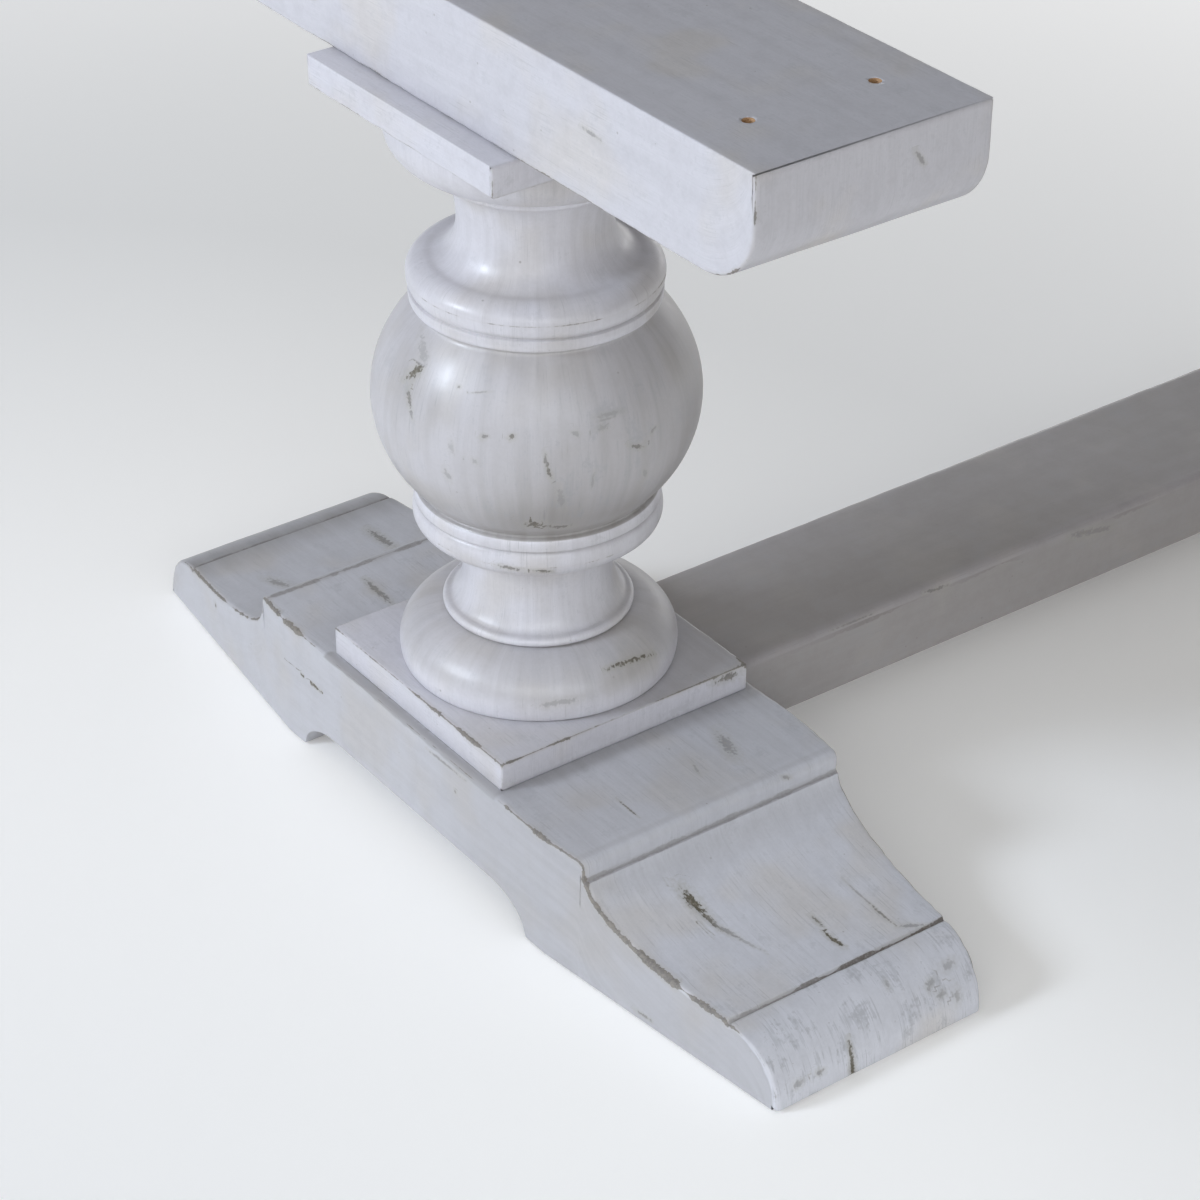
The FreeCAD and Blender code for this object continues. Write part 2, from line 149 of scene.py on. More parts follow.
def board(name, carved, plain, half_width, rounds, rows, step, up=1, turned=False, chatter=1.0, seed=1):
    """A sawn board as one closed mesh. Its carved face follows one outline and its plain face another,
    both (length, height), and half_width gives half its width along its length. up is 1 where the carved
    face is on top. The skin that comes with it says where every vertex lies along and across the board."""
    crisp, worn_in = 0.0004, 0.0013
    along, path, heading = trace(carved, crisp)
    at = columns(along, heading, step, board_turn)
    plain_along, plain_path, _ = trace(plain, crisp)
    share, plain_share = progress(along, path), progress(plain_along, plain_path)
    plain_at = np.interp(np.interp(at, along, share), plain_share, plain_along)
    count = len(at)
    uneven = 0.30 * ripple(at[:, None], 0.011, seed) + 0.22 * ripple(at[:, None], 0.0042, seed + 1)
    uneven = 1 + chatter * uneven
    faces = {}
    for kind, outline, where, side, radius in (("carved", carved, at, up, rounds[0] * uneven),
                                               ("plain", plain, plain_at, -up, rounds[1] * np.ones(count))):
        face = read(where, *trace(outline, crisp)[:2])
        soft_along, soft, soft_heading = trace(outline, worn_in)
        soft = read(where, soft_along, soft)
        out = read(where, soft_along, soft_heading) @ np.array([[0, 1], [-1, 0]]) * side
        inset = soft - out * radius[:, None]
        limit = rounds[0] if kind == "plain" else 0
        inset[:, 0] = np.clip(inset[:, 0], carved[:, 0].min() + limit, carved[:, 0].max() - limit)
        inset[:, 1] = up * np.maximum(up * inset[:, 1], up * plain[0, 1] + radius)
        faces[kind] = (face, inset, radius)
    ring = []

    def station(place, inward, across, arris, face):
        wide = half_width(place[:, 0])
        ring.append((place, wide, inward, across, arris, face))

    face_c, inset_c, round_c = faces["carved"]
    face_p, inset_p, round_p = faces["plain"]
    tall = np.linalg.norm(inset_c - inset_p, axis=1)
    bends = np.linspace(0, pi / 2, 5)[1:-1]
    skip = 1 - cos(pi / 4)
    for q in np.linspace(-1, 1, rows["carved"] + 1):
        wide = half_width(face_c[:, 0])
        y = q * (wide - round_c)
        station(face_c, y, y, np.maximum(wide - np.abs(y) - skip * round_c, 0), 0)
    for side in (1, -1):
        sections = []
        for bend in bends:
            place = face_c + (inset_c - face_c) * (1 - cos(bend))
            wide = half_width(place[:, 0])
            y = side * (wide - round_c * (1 - sin(bend)))
            sections.append((place, y, y, np.abs(bend - pi / 4) * round_c, 0))
        for t in np.linspace(0, 1, rows["side"] + 1):
            place = inset_c + (inset_p - inset_c) * t
            wide = half_width(place[:, 0])
            deep = tall * t
            sections.append((place, side * wide, side * (wide + round_c + deep), round_c * pi / 4 + deep,
                             side))
        for bend in bends[::-1]:
            place = face_p + (inset_p - face_p) * (1 - cos(bend))
            wide = half_width(place[:, 0])
            y = side * (wide - round_p * (1 - sin(bend)))
            sections.append((place, y, side * (wide + round_c + tall), round_c + tall, 2))
        if side == 1:
            for section in sections:
                station(*section)
            for q in np.linspace(1, -1, rows["plain"] + 1):
                wide = half_width(face_p[:, 0])
                y = q * (wide - round_p)
                station(face_p, y, y, np.full(count, 0.05), 2)
        else:
            for section in sections[::-1]:
                station(*section)
    size = len(ring)
    spots = np.zeros((count, size, 3))
    skin = {key: np.zeros((count, size)) for key in ("along", "across", "arris", "face")}
    for k, (place, wide, inward, across, arris, face) in enumerate(ring):
        spots[:, k] = np.column_stack([place[:, 0], inward, place[:, 1]])
        for key, value in zip(("along", "across", "arris", "face"), (at, across, arris, face)):
            skin[key][:, k] = value
    spots = spots.reshape(-1, 3)
    skin = {key: value.ravel() for key, value in skin.items()}
    skin["place"] = spots.copy()
    first = np.arange(count - 1)[:, None] * size + np.arange(size)[None, :]
    after = np.arange(count - 1)[:, None] * size + (np.arange(size)[None, :] + 1) % size
    quads = np.stack([first, first + size, after + size, after], axis=-1).reshape(-1, 4)
    if up == -1:
        quads = quads[:, ::-1]
    ends = [list(range(size)), [(count - 1) * size + k for k in range(size)][::-1]]
    if up == -1:
        ends = [end[::-1] for end in ends]
    if turned:
        spots = spots @ np.array([[0, 1, 0], [-1, 0, 0], [0, 0, 1]])
    skin["spots"] = spots
    piece = solid(name, spots, quads.tolist() + ends)
    return piece, skin


def solid(name, spots, faces):
    mesh = bpy.data.meshes.new(name)
    mesh.from_pydata([tuple(p) for p in spots], [], faces)
    mesh.validate()
    mesh.shade_smooth()
    piece = bpy.data.objects.new(name, mesh)
    bpy.context.scene.collection.objects.link(piece)
    return piece


def press_in(piece, skin, depth):
    """Moves every vertex inwards along its normal by depth, in metres."""
    mesh = piece.data
    normals = np.zeros(len(mesh.vertices) * 3)
    mesh.vertices.foreach_get("normal", normals)
    spots = skin["spots"] - normals.reshape(-1, 3) * np.maximum(depth, 0)[:, None]
    mesh.vertices.foreach_set("co", spots.ravel())
    mesh.update()
    skin["spots"] = spots


def evenly(skin, value):
    return np.full(len(skin["spots"]), value)


def waves(skin, *swells):
    """The slow unevenness of planed wood under paint. A swell is (half its height, its size, seed)."""
    return sum(height * (1 + ripple(skin["spots"], size, seed)) for height, size, seed in swells)


def dents(skin, depth):
    """Hollows under the scuffs, deepest in their middle."""
    reach = np.hypot(skin["scuff"][:, 0], skin["scuff"][:, 1])
    return depth * skin["scuff"][:, 2] * np.clip(1.3 - reach, 0, 1)


def scuffed(skin, marks):
    """Where each vertex lies on the nearest mark: along it, across it and how strong the mark is.
    A mark is (from, to, half its width, strength), with its ends in millimetres on the piece."""
    spots = skin["spots"] * 1000
    scuff = np.tile((30.0, 30.0, 0.0), (len(spots), 1))
    best = np.full(len(spots), 1e9)
    for start, end, half_wide, strength in marks:
        start, end = np.array(start, float), np.array(end, float)
        span = end - start
        half_long = np.linalg.norm(span) / 2 + half_wide
        line = span / np.linalg.norm(span)
        gap = spots - (start + end) / 2
        u = gap @ line
        side = gap - u[:, None] * line
        v = np.linalg.norm(side, axis=1)
        sign = np.sign(side @ np.cross(line, (0.31, -0.47, 0.82)))
        reach = np.hypot(np.maximum(np.abs(u) - half_long, 0), v)
        near = (reach < max(4.0, 3.5 * half_wide)) & (reach / half_wide < best)
        best[near] = reach[near] / half_wide
        scuff[near] = np.column_stack([u / half_long, v * sign / half_wide, np.full(len(u), strength)])[near]
    return scuff


def dress(piece, skin):
    """Writes the skin onto the mesh for the paint: grain and distances in millimetres."""
    mesh = piece.data
    deep = skin.get("deep", np.zeros(len(mesh.vertices)))
    skin["grain"] = np.column_stack([skin["along"], skin["across"], deep])
    for key, kind in paint_fields.items():
        values = skin[key] * (1000 if key in ("grain", "arris", "crease") else 1)
        field = mesh.attributes.new(key, kind, "POINT")
        name = "vector" if kind == "FLOAT_VECTOR" else "value"
        field.data.foreach_set(name, np.asarray(values, np.float32).ravel())


def pin_cutter(build, x, y, steps, sides=40):
    """A stepped round cutter: steps are (height, radius) pairs from the bottom, the last with its top."""
    loops = []
    for z, radius in steps:
        angles = [2 * pi * k / sides for k in range(sides)]
        loops.append([build.verts.new((x + radius * cos(a), y + radius * sin(a), z)) for a in angles])
    build.faces.new(loops[0][::-1])
    build.faces.new(loops[-1])
    for lower, upper in zip(loops, loops[1:]):
        for k in range(sides):
            build.faces.new((lower[k], lower[(k + 1) % sides], upper[(k + 1) % sides], upper[k]))


def box_cutter(build, low, high):
    middle = (Vector(low) + Vector(high)) / 2
    shape = Matrix.Translation(middle) @ Matrix.Diagonal((*(Vector(high) - Vector(low)), 1))
    bmesh.ops.create_cube(build, size=1, matrix=shape)


def cut(piece, *passes):
    """Cuts holes in a dressed piece. Each pass draws cutters that stand clear of each other."""
    old = piece.data
    for draw in passes:
        build = bmesh.new()
        draw(build)
        for face in build.faces:
            face.material_index = 1
        tool_mesh = bpy.data.meshes.new("cutter")
        build.to_mesh(tool_mesh)
        build.free()
        tool = bpy.data.objects.new("cutter", tool_mesh)
        bpy.context.scene.collection.objects.link(tool)
        change = piece.modifiers.new("cut", "BOOLEAN")
        change.operation = "DIFFERENCE"
        change.solver = "MANIFOLD"
        change.object = tool
        graph = bpy.context.evaluated_depsgraph_get()
        fresh = bpy.data.meshes.new_from_object(piece.evaluated_get(graph))
        piece.modifiers.clear()
        piece.data = fresh
        bpy.data.objects.remove(tool)
    carry_over(old, piece.data)
    inner = np.zeros(len(piece.data.polygons), np.int32)
    piece.data.polygons.foreach_get("material_index", inner)
    piece.data.polygons.foreach_set("use_smooth", inner == 0)
    piece.data.name = piece.name


def carry_over(old, new):
    """Gives each vertex of the cut mesh the fields of the nearest vertex before the cut."""
    tree = kdtree.KDTree(len(old.vertices))
    for k, vertex in enumerate(old.vertices):
        tree.insert(vertex.co, k)
    tree.balance()
    nearest = np.array([tree.find(vertex.co)[1] for vertex in new.vertices])
    for key, kind in paint_fields.items():
        wide, name = (3, "vector") if kind == "FLOAT_VECTOR" else (1, "value")
        values = np.zeros(len(old.vertices) * wide, np.float32)
        old.attributes[key].data.foreach_get(name, values)
        fresh = new.attributes.get(key) or new.attributes.new(key, kind, "POINT")
        fresh.data.foreach_set(name, values.reshape(-1, wide)[nearest].ravel())


def tone(red, green, blue):
    """A colour read as it looks on a screen, from 0 to 255, as light."""
    return tuple(((c / 255 + 0.055) / 1.055) ** 2.4 for c in (red, green, blue)) + (1,)


def add(tree, kind, inputs, **settings):
    made = tree.nodes.new(kind)
    for key, value in settings.items():
        setattr(made, key, value)
    for key, value in inputs.items():
        if isinstance(value, bpy.types.NodeSocket):
            tree.links.new(value, made.inputs[key])
        else:
            made.inputs[key].default_value = value
    return made


def field_of(tree, name, output):
    return add(tree, "ShaderNodeAttribute", {}, attribute_name=name).outputs[output]


def cloud(tree, place, size, seed, detail=3.0, rough=0.55):
    """Noise with features of size (three lengths) over place, both in millimetres."""
    moved = add(tree, "ShaderNodeVectorMath",
                {0: place, 1: [1 / s for s in size], 2: (seed, 1.7 * seed, 2.3 * seed)},
                operation="MULTIPLY_ADD")
    return add(tree, "ShaderNodeTexNoise", {"Vector": moved.outputs[0], "Scale": 1.0, "Detail": detail,
                                            "Roughness": rough}).outputs[0]


def ease(tree, value, low, high, start=0.0, end=1.0):
    inputs = {"Value": value, "From Min": low, "From Max": high, "To Min": start, "To Max": end}
    return add(tree, "ShaderNodeMapRange", inputs, interpolation_type="SMOOTHSTEP").outputs[0]


def sum_of(tree, operation, *values):
    return add(tree, "ShaderNodeMath", dict(enumerate(values)), operation=operation).outputs[0]


def mix(tree, share, first, second, blend="MIX"):
    inputs = {0: share, 6: first, 7: second}
    return add(tree, "ShaderNodeMix", inputs, data_type="RGBA", blend_type=blend,
               clamp_factor=True).outputs[2]


def blank_finish(name):
    """A new material, its node tree and shader, and every place on the piece in millimetres."""
    material = bpy.data.materials.new(name)
    material.use_nodes = True
    tree = material.node_tree
    place = add(tree, "ShaderNodeTexCoord", {}).outputs["Object"]
    room = add(tree, "ShaderNodeVectorMath", {0: place, 3: 1000.0}, operation="SCALE").outputs[0]
    return material, tree, tree.nodes["Principled BSDF"], room


def antique_paint(name, seed, streaks=1.0, cream=0.5, specks=1.0, body=(198, 197, 203),
                  glaze=(150, 146, 143)):
    """Brushed white paint over a brown glaze: streaks along the grain, cream patches, arrises rubbed through
    to the glaze and wood, glaze and painted shade in the creases, a wash of glaze and painted shade where
    the skin asks for it, scuffs where the skin has them, and a few specks."""
    material, tree, shader, room = blank_finish(name)
    shader.inputs["Specular IOR Level"].default_value = 0.75
    grain = field_of(tree, "grain", "Vector")
    arris = field_of(tree, "arris", "Fac")
    worn = field_of(tree, "worn", "Fac")
    crease = field_of(tree, "crease", "Fac")
    crease_glaze_and_shade = field_of(tree, "crease_glaze_and_shade", "Fac")
    rub = field_of(tree, "rub", "Fac")
    stain_and_shade = field_of(tree, "stain_and_shade", "Fac")
    scuff = add(tree, "ShaderNodeSeparateXYZ", {0: field_of(tree, "scuff", "Vector")}).outputs
    fine = cloud(tree, grain, (30, 0.9, 0.9), seed, 3.0, 0.6)
    broad = cloud(tree, grain, (80, 5, 5), seed + 3, 2.0)
    hair = cloud(tree, grain, (17, 0.8, 0.8), seed + 11, 3.0, 0.6)
    blotch = cloud(tree, room, (13, 13, 13), seed + 6, 3.0, 0.62)
    patch = cloud(tree, room, (45, 45, 45), seed + 8, 2.0)
    grit = cloud(tree, room, (1.7, 1.7, 1.7), seed + 19, 2.0)

    # The coat: clouding, brush lines and a wash of glaze that also lays on painted shade.
    colour = mix(tree, ease(tree, patch, 0.48, 0.70, 0.0, cream), tone(*body), tone(200, 194, 187))
    lines = sum_of(tree, "MULTIPLY", ease(tree, fine, 0.28, 0.72, -0.030 * streaks, 0.024 * streaks),
                   ease(tree, patch, 0.38, 0.62, 0.25, 1.0))
    shade = sum_of(tree, "ADD", lines, ease(tree, broad, 0.3, 0.7, 1 - 0.028 * streaks, 1 + 0.024 * streaks))
    shade = sum_of(tree, "ADD", shade, ease(tree, blotch, 0.3, 0.7, -0.065, 0.04))
    shade = sum_of(tree, "ADD", shade, ease(tree, grit, 0.3, 0.7, -0.026, 0.018))
    colour = mix(tree, 1.0, colour, shade, "MULTIPLY")
    glaze_and_shade_wash = sum_of(tree, "MULTIPLY", stain_and_shade, ease(tree, broad, 0.30, 0.66, 1.0, 0.86))
    colour = mix(tree, glaze_and_shade_wash, colour, tone(*glaze))

    # Glaze dragged along the brush lines, and soft smudges where the piece is handled.
    strand = sum_of(tree, "MULTIPLY", ease(tree, hair, 0.60, 0.71), ease(tree, patch, 0.44, 0.60, 0.1, 1.0))
    strand = sum_of(tree, "MULTIPLY", strand, sum_of(tree, "MULTIPLY_ADD", rub, 0.62, 0.04 * streaks))
    colour = mix(tree, strand, colour, tone(136, 133, 130))
    smear = sum_of(tree, "MULTIPLY_ADD", hair, 0.45, sum_of(tree, "MULTIPLY", blotch, 0.55))
    smear = sum_of(tree, "MULTIPLY", ease(tree, smear, 0.50, 0.60), sum_of(tree, "MULTIPLY", rub, 0.42))
    colour = mix(tree, smear, colour, tone(155, 157, 162))
    smudge = sum_of(tree, "MULTIPLY_ADD", grit, 0.45, sum_of(tree, "MULTIPLY", blotch, 0.55))
    smudge = sum_of(tree, "MULTIPLY", ease(tree, smudge, 0.545, 0.64),
                    sum_of(tree, "MULTIPLY_ADD", rub, 0.34, 0.08))
    colour = mix(tree, smudge, colour, tone(152, 152, 156))

    # Arrises rubbed through to brown, in places, with a stained edge to each worn place.
    patchy = sum_of(tree, "MULTIPLY_ADD", blotch, 0.6, sum_of(tree, "MULTIPLY", patch, 0.4))
    spread = sum_of(tree, "MAXIMUM", ease(tree, patchy, 0.42, 0.60, 0.0, 1.8),
                    sum_of(tree, "MULTIPLY_ADD", worn, 2.8, -1.75))
    wide = sum_of(tree, "MULTIPLY", sum_of(tree, "MULTIPLY", spread, worn),
                  ease(tree, grit, 0.28, 0.72, 0.70, 1.30))
    rubbed = ease(tree, arris, sum_of(tree, "SUBTRACT", wide, 0.42), wide, 1.0, 0.0)
    halo = ease(tree, arris, wide, sum_of(tree, "MULTIPLY_ADD", worn, 2.2, wide), 1.0, 0.0)
    colour = mix(tree, sum_of(tree, "MULTIPLY", halo, sum_of(tree, "MULTIPLY", worn, 0.30)), colour,
                 tone(176, 171, 163))
    colour = mix(tree, sum_of(tree, "MULTIPLY", rubbed, 0.85), colour,
                 mix(tree, ease(tree, grit, 0.35, 0.65), tone(92, 86, 79), tone(124, 117, 107)))

    # Glaze and painted shade in the creases: a soft film that is partly painted shade, and a broken dark
    # line of glaze.
    glaze_and_shade_film = sum_of(tree, "MULTIPLY", ease(tree, crease, 0.2, 3.2, 0.5, 0.0), crease_glaze_and_shade)
    colour = mix(tree, glaze_and_shade_film, colour, tone(146, 141, 138))
    seam = ease(tree, blotch, 0.36, 0.62, 0.7, 2.2)
    seam = sum_of(tree, "MULTIPLY", ease(tree, crease, sum_of(tree, "SUBTRACT", seam, 0.45), seam, 1.0, 0.0),
                  ease(tree, crease_glaze_and_shade, 0.45, 0.95, 0.0, 1.0))
    seam = sum_of(tree, "MULTIPLY", seam, ease(tree, grit, 0.25, 0.6, 0.6, 1.0))
    colour = mix(tree, seam, colour, tone(100, 93, 86))

    # Scuffs, each with a ragged dark core and a pale rim.
    flat = add(tree, "ShaderNodeCombineXYZ", {0: scuff[0], 1: scuff[1]}).outputs[0]
    reach = add(tree, "ShaderNodeVectorMath", {0: flat}, operation="LENGTH").outputs["Value"]
    reach = sum_of(tree, "ADD", reach, ease(tree, hair, 0.25, 0.75, -0.24 * streaks, 0.28 * streaks))
    reach = sum_of(tree, "ADD", reach, ease(tree, grit, 0.25, 0.75, -0.42, 0.42))
    gouge = sum_of(tree, "MULTIPLY", ease(tree, reach, 0.55, 1.20, 1.0, 0.0), scuff[2])
    rim = sum_of(tree, "MULTIPLY", ease(tree, reach, 0.7, 2.7, 0.5, 0.0), scuff[2])
    colour = mix(tree, rim, colour, tone(166, 163, 153))
    core = mix(tree, ease(tree, scuff[2], 0.55, 0.95), tone(128, 126, 128), tone(86, 80, 66))
    colour = mix(tree, gouge, colour, mix(tree, ease(tree, grit, 0.4, 0.7, 0.0, 0.5), core,
                                          tone(140, 134, 120)))

    # Specks flicked off the brush.
    dots = add(tree, "ShaderNodeTexVoronoi", {"Vector": room, "Scale": 1 / 6.5, "Randomness": 1.0},
               feature="F1").outputs
    rare = add(tree, "ShaderNodeSeparateXYZ", {0: dots["Color"]}).outputs
    dot_size = ease(tree, rare[0], 0.60, 1.0, 0.03, 0.13)
    dot = ease(tree, dots["Distance"], sum_of(tree, "MULTIPLY", dot_size, 0.3), dot_size, 1.0, 0.0)
    dot = sum_of(tree, "MULTIPLY", dot, ease(tree, rare[1], 0.3, 1.0, 0.06 * specks, 0.6 * specks))
    dot = sum_of(tree, "MULTIPLY", dot, ease(tree, rare[0], 0.59, 0.62))
    colour = mix(tree, dot, colour, tone(122, 117, 109))

    # Satin where the coat is whole, dull where it is gone.
    tree.links.new(colour, shader.inputs["Base Color"])
    dull = sum_of(tree, "MAXIMUM", rubbed, sum_of(tree, "MAXIMUM", gouge, seam))
    rough = sum_of(tree, "MULTIPLY_ADD", dull, 0.30, ease(tree, broad, 0.3, 0.7, 0.33, 0.43))
    tree.links.new(rough, shader.inputs["Roughness"])
    height = sum_of(tree, "MULTIPLY_ADD", broad, 0.16 * streaks,
                    sum_of(tree, "MULTIPLY", fine, 0.038 * streaks))
    emboss(tree, shader, height, 0.7, 0.001)
    return material


def emboss(tree, shader, height, strength, distance):
    bump = add(tree, "ShaderNodeBump", {"Strength": strength, "Distance": distance, "Height": height})
    tree.links.new(bump.outputs[0], shader.inputs["Normal"])


def bare_wood(name, seed):
    """Unpainted beech, as it shows inside the holes: pale brown with short dark flecks along the grain."""
    material, tree, shader, room = blank_finish(name)
    band = cloud(tree, room, (60, 4, 4), seed, 3.0)
    fleck = ease(tree, cloud(tree, room, (5, 0.6, 0.6), seed + 2, 2.0), 0.60, 0.70)
    colour = mix(tree, ease(tree, band, 0.3, 0.7), tone(188, 150, 112), tone(206, 172, 134))
    colour = mix(tree, sum_of(tree, "MULTIPLY", fleck, 0.5), colour, tone(140, 104, 72))
    tree.links.new(colour, shader.inputs["Base Color"])
    shader.inputs["Roughness"].default_value = 0.62
    emboss(tree, shader, fleck, 0.5, 0.0002)
    return material


def coat(piece, paint, inside):
    """Paint outside, and what shows inside the holes."""
    piece.data.materials.append(paint)
    piece.data.materials.append(inside)


def foot_half_width(x):
    gone = np.maximum(np.abs(x) - foot_straight, 0) / (foot_end - foot_straight)
    return foot_side + (foot_end_side - foot_side) * np.minimum(gone, 1)


foot_upper = mirrored(chain(
    (0, foot_top), quarter((lip_x - lip_round, foot_top), (lip_x, foot_top), (lip_x, foot_top - lip_round)),
    (lip_x, foot_top - lip_drop),
    quarter((lip_x + lip_ledge, foot_top - lip_drop), (lip_x + lip_ledge, crease_z),
            (crease_x - crease_half, crease_z)),
    (crease_x, crease_bottom),
    quarter((crease_x + crease_half, nose_z), (foot_end, nose_z), (foot_end, foot_pad + toe_round)),
    quarter((foot_end, foot_pad + toe_round), (foot_end, foot_pad), (foot_end - toe_round, foot_pad), 8)))
foot_under = mirrored(chain((0, arch_z), quarter((arch_flat, arch_z), (arch_pad, arch_z),
                                                 (arch_pad, foot_pad)),
                            (foot_end - 3 * toe_round, foot_pad)))
foot, foot_skin = board("carved_foot", foot_upper, foot_under, foot_half_width, (foot_arris, 0.0006),
                        foot_rows, foot_step, seed=11)


def foot_height(x):
    """Height of the foot's carved face over a place along it, in millimetres."""
    order = np.argsort(foot_upper[:, 0], kind="stable")
    return float(np.interp(x / 1000, foot_upper[order, 0], foot_upper[order, 1])) * 1000


def on_foot(x, y):
    return (x, y, foot_height(x))


foot_marks = [
    (on_foot(97.5, 37.6), on_foot(110, 33.9), 2.7, 0.62),
    (on_foot(-146, -46), on_foot(-149, -38), 3.4, 0.42),
    (on_foot(110.5, -32.4), on_foot(123.8, -32.5), 0.5, 0.8), (on_foot(107, 13), on_foot(114, 11), 0.7, 0.5),
    ((139, 42, 67), (139.6, 44.5, 65.5), 1.0, 0.6),
    (on_foot(159.4, -30.4), on_foot(169, -29.6), 2.5, 1.0),
    (on_foot(169, -29.3), on_foot(181, -29.1), 1.3, 0.85),
    (on_foot(181, -28.6), on_foot(190, -25.2), 1.3, 0.65), (on_foot(191, -25), on_foot(203, -21), 0.8, 0.4),
    (on_foot(198.6, 12.9), on_foot(204.4, 12.7), 1.1, 0.8),
    (on_foot(211.4, 10.8), on_foot(219.6, 11.5), 1.3, 1.0),
    (on_foot(189, 40.7), on_foot(206, 40.7), 0.5, 0.5), (on_foot(206, 40.7), on_foot(221, 40.8), 0.7, 0.75),
    (on_foot(226, 43), on_foot(230.4, 51), 1.1, 0.6), (on_foot(151.9, -35.8), on_foot(183, -35.4), 0.4, 0.5),
    ((260.4, -16, 17), (263.8, -16.4, 6), 1.1, 0.9), ((263.8, -16.4, 7), (264, -16.2, 1), 1.5, 1.0),
    ((262.6, -47.6, 10.3), (262.7, -46, 10.4), 1.7, 0.5), ((262.9, -35, 11), (262.9, -33.6, 10.9), 1.4, 0.6),
    ((255.6, 34.5, 22.6), (255.0, 36, 23.2), 1.6, 0.5), ((252.6, 47, 25.6), (252.2, 50, 25.9), 2.0, 0.4),
    ((249.6, 14.6, 27.6), (248.4, 14.9, 28.5), 1.2, 0.45),
    ((256.6, 33.4, 21.3), (255.6, 33.8, 22.4), 1.3, 0.5),
    ((261.6, 46.6, 12.8), (260.6, 46.9, 15.2), 1.6, 0.45),
    ((259.4, 38, 17.3), (259.2, 39.5, 17.6), 1.8, 0.5),
    ((-111, -78, 43.5), (-102, -78, 43.4), 0.9, 0.8), ((-101, -78, 43.4), (-79, -78, 43.0), 1.0, 0.95),
    ((-202.5, -67.2, 26.4), (-202.3, -67.2, 25.4), 1.1, 0.8), ((19.3, -78, 63), (48, -78, 63.5), 0.8, 0.6),
    ((41, -78, 52.2), (41.2, -78, 51.4), 0.8, 0.7),
    (on_foot(-204, 32.8), on_foot(-183, 31.9), 2.4, 0.72),
    (on_foot(-117.7, -24), on_foot(-97.4, -25), 1.8, 0.72),
    (on_foot(-193, -38), on_foot(-182, -36), 2.4, 0.6), ((175.7, -70.5, 4.4), (184, -69.5, 4.9), 0.9, 0.7),
]
# Wear of the long arrises, and glaze and painted shade on the faces, each against the distance along the
# foot in millimetres.
outer_wear = ((-264, 0.2), (-240, 0.3), (-230, 1.0), (-192, 1.0), (-186, 0.7), (-150, 0.7), (-142, 0.5),
              (-138, 0.9), (-132, 1.1), (-120, 1.1), (-117, 0.4), (-114, 1.1), (-98, 1.15), (-90, 0.25),
              (-40, 0.15), (20, 0.3), (60, 0.25), (74, 0.2), (82, 0.85), (140, 0.95), (143, 0.6),
              (150, 0.85), (170, 0.88), (176, 1.25), (200, 1.28), (203, 0.3), (208, 0.3), (210, 1.02),
              (231, 1.05), (234, 0.7), (240, 0.8), (243, 0.2), (264, 0.15))
inner_wear = ((-264, 0.25), (-150, 0.45), (-80, 0.3), (80, 0.3), (150, 0.45), (264, 0.35))
# Painted shade and glaze on the top: darkest over the far nose and at the foot of the far sweep, with a
# painted shadow of the plinth from 72 to 82 mm.
top_glaze_and_shade = ((-264, 0.60), (-240, 0.66), (-234, 0.95), (-227, 0.72), (-212, 0.30), (-185, 0.22),
             (-160, 0.40), (-146, 0.72), (-141, 0.40), (-128, 0.26), (-80, 0.34), (72, 0.42), (73, 0.65),
             (78, 0.60), (82, 0.50), (130, 0.42), (141, 0.16), (146, 0.10), (190, 0.12), (225, 0.16),
             (236, 0.20), (248, 0.08), (264, 0.0))
# Glaze and painted shade on the sides, darker towards the near end.
side_glaze_and_shade = ((-264, 0.42), (10, 0.44), (70, 0.62), (264, 0.60))
top_handling = ((-264, 0.9), (-232, 0.8), (-228, 0.3), (-140, 0.3), (-120, 0.5), (130, 0.5), (145, 0.3),
                (215, 0.45), (230, 0.5), (235, 0.9), (264, 1.0))


def table(pairs, values):
    where, amount = zip(*pairs)
    return np.interp(values, where, amount)


def creases(skin, lines):
    """The nearest crease to every vertex of the carved face, and how much glaze and painted shade it holds.
    """
    distance, glaze = evenly(skin, 0.05), evenly(skin, 0.0)
    carved = skin["face"] == 0
    for where, amount in lines:
        gap = np.abs(skin["along"] - where)
        near = carved & (gap < distance)
        distance[near] = gap[near]
        glaze[near] = amount[near] if isinstance(amount, np.ndarray) else amount
    return distance, glaze


def cross_arrises(skin, lines):
    """Arrises that run across the board: (distance along it, wear)."""
    carved = skin["face"] == 0
    for where, amount in lines:
        gap = np.abs(skin["along"] - where)
        near = carved & (gap < skin["arris"])
        skin["arris"][near] = gap[near]
        skin["worn"][near] = amount


def along_at(outline, x, z):
    """Distance along an outline of the corner at x, z."""
    run = np.concatenate(([0], np.cumsum(np.linalg.norm(np.diff(outline, axis=0), axis=1))))
    return run[np.argmin(np.linalg.norm(outline - (x, z), axis=1))]


x_mm, y_mm = foot_skin["place"][:, 0] * 1000, foot_skin["place"][:, 1] * 1000
foot_skin["worn"] = np.where(y_mm < 0, table(outer_wear, x_mm), table(inner_wear, x_mm))
near_glaze = 0.77 + 0.13 * np.clip((y_mm + 20) / 40, -1, 1)
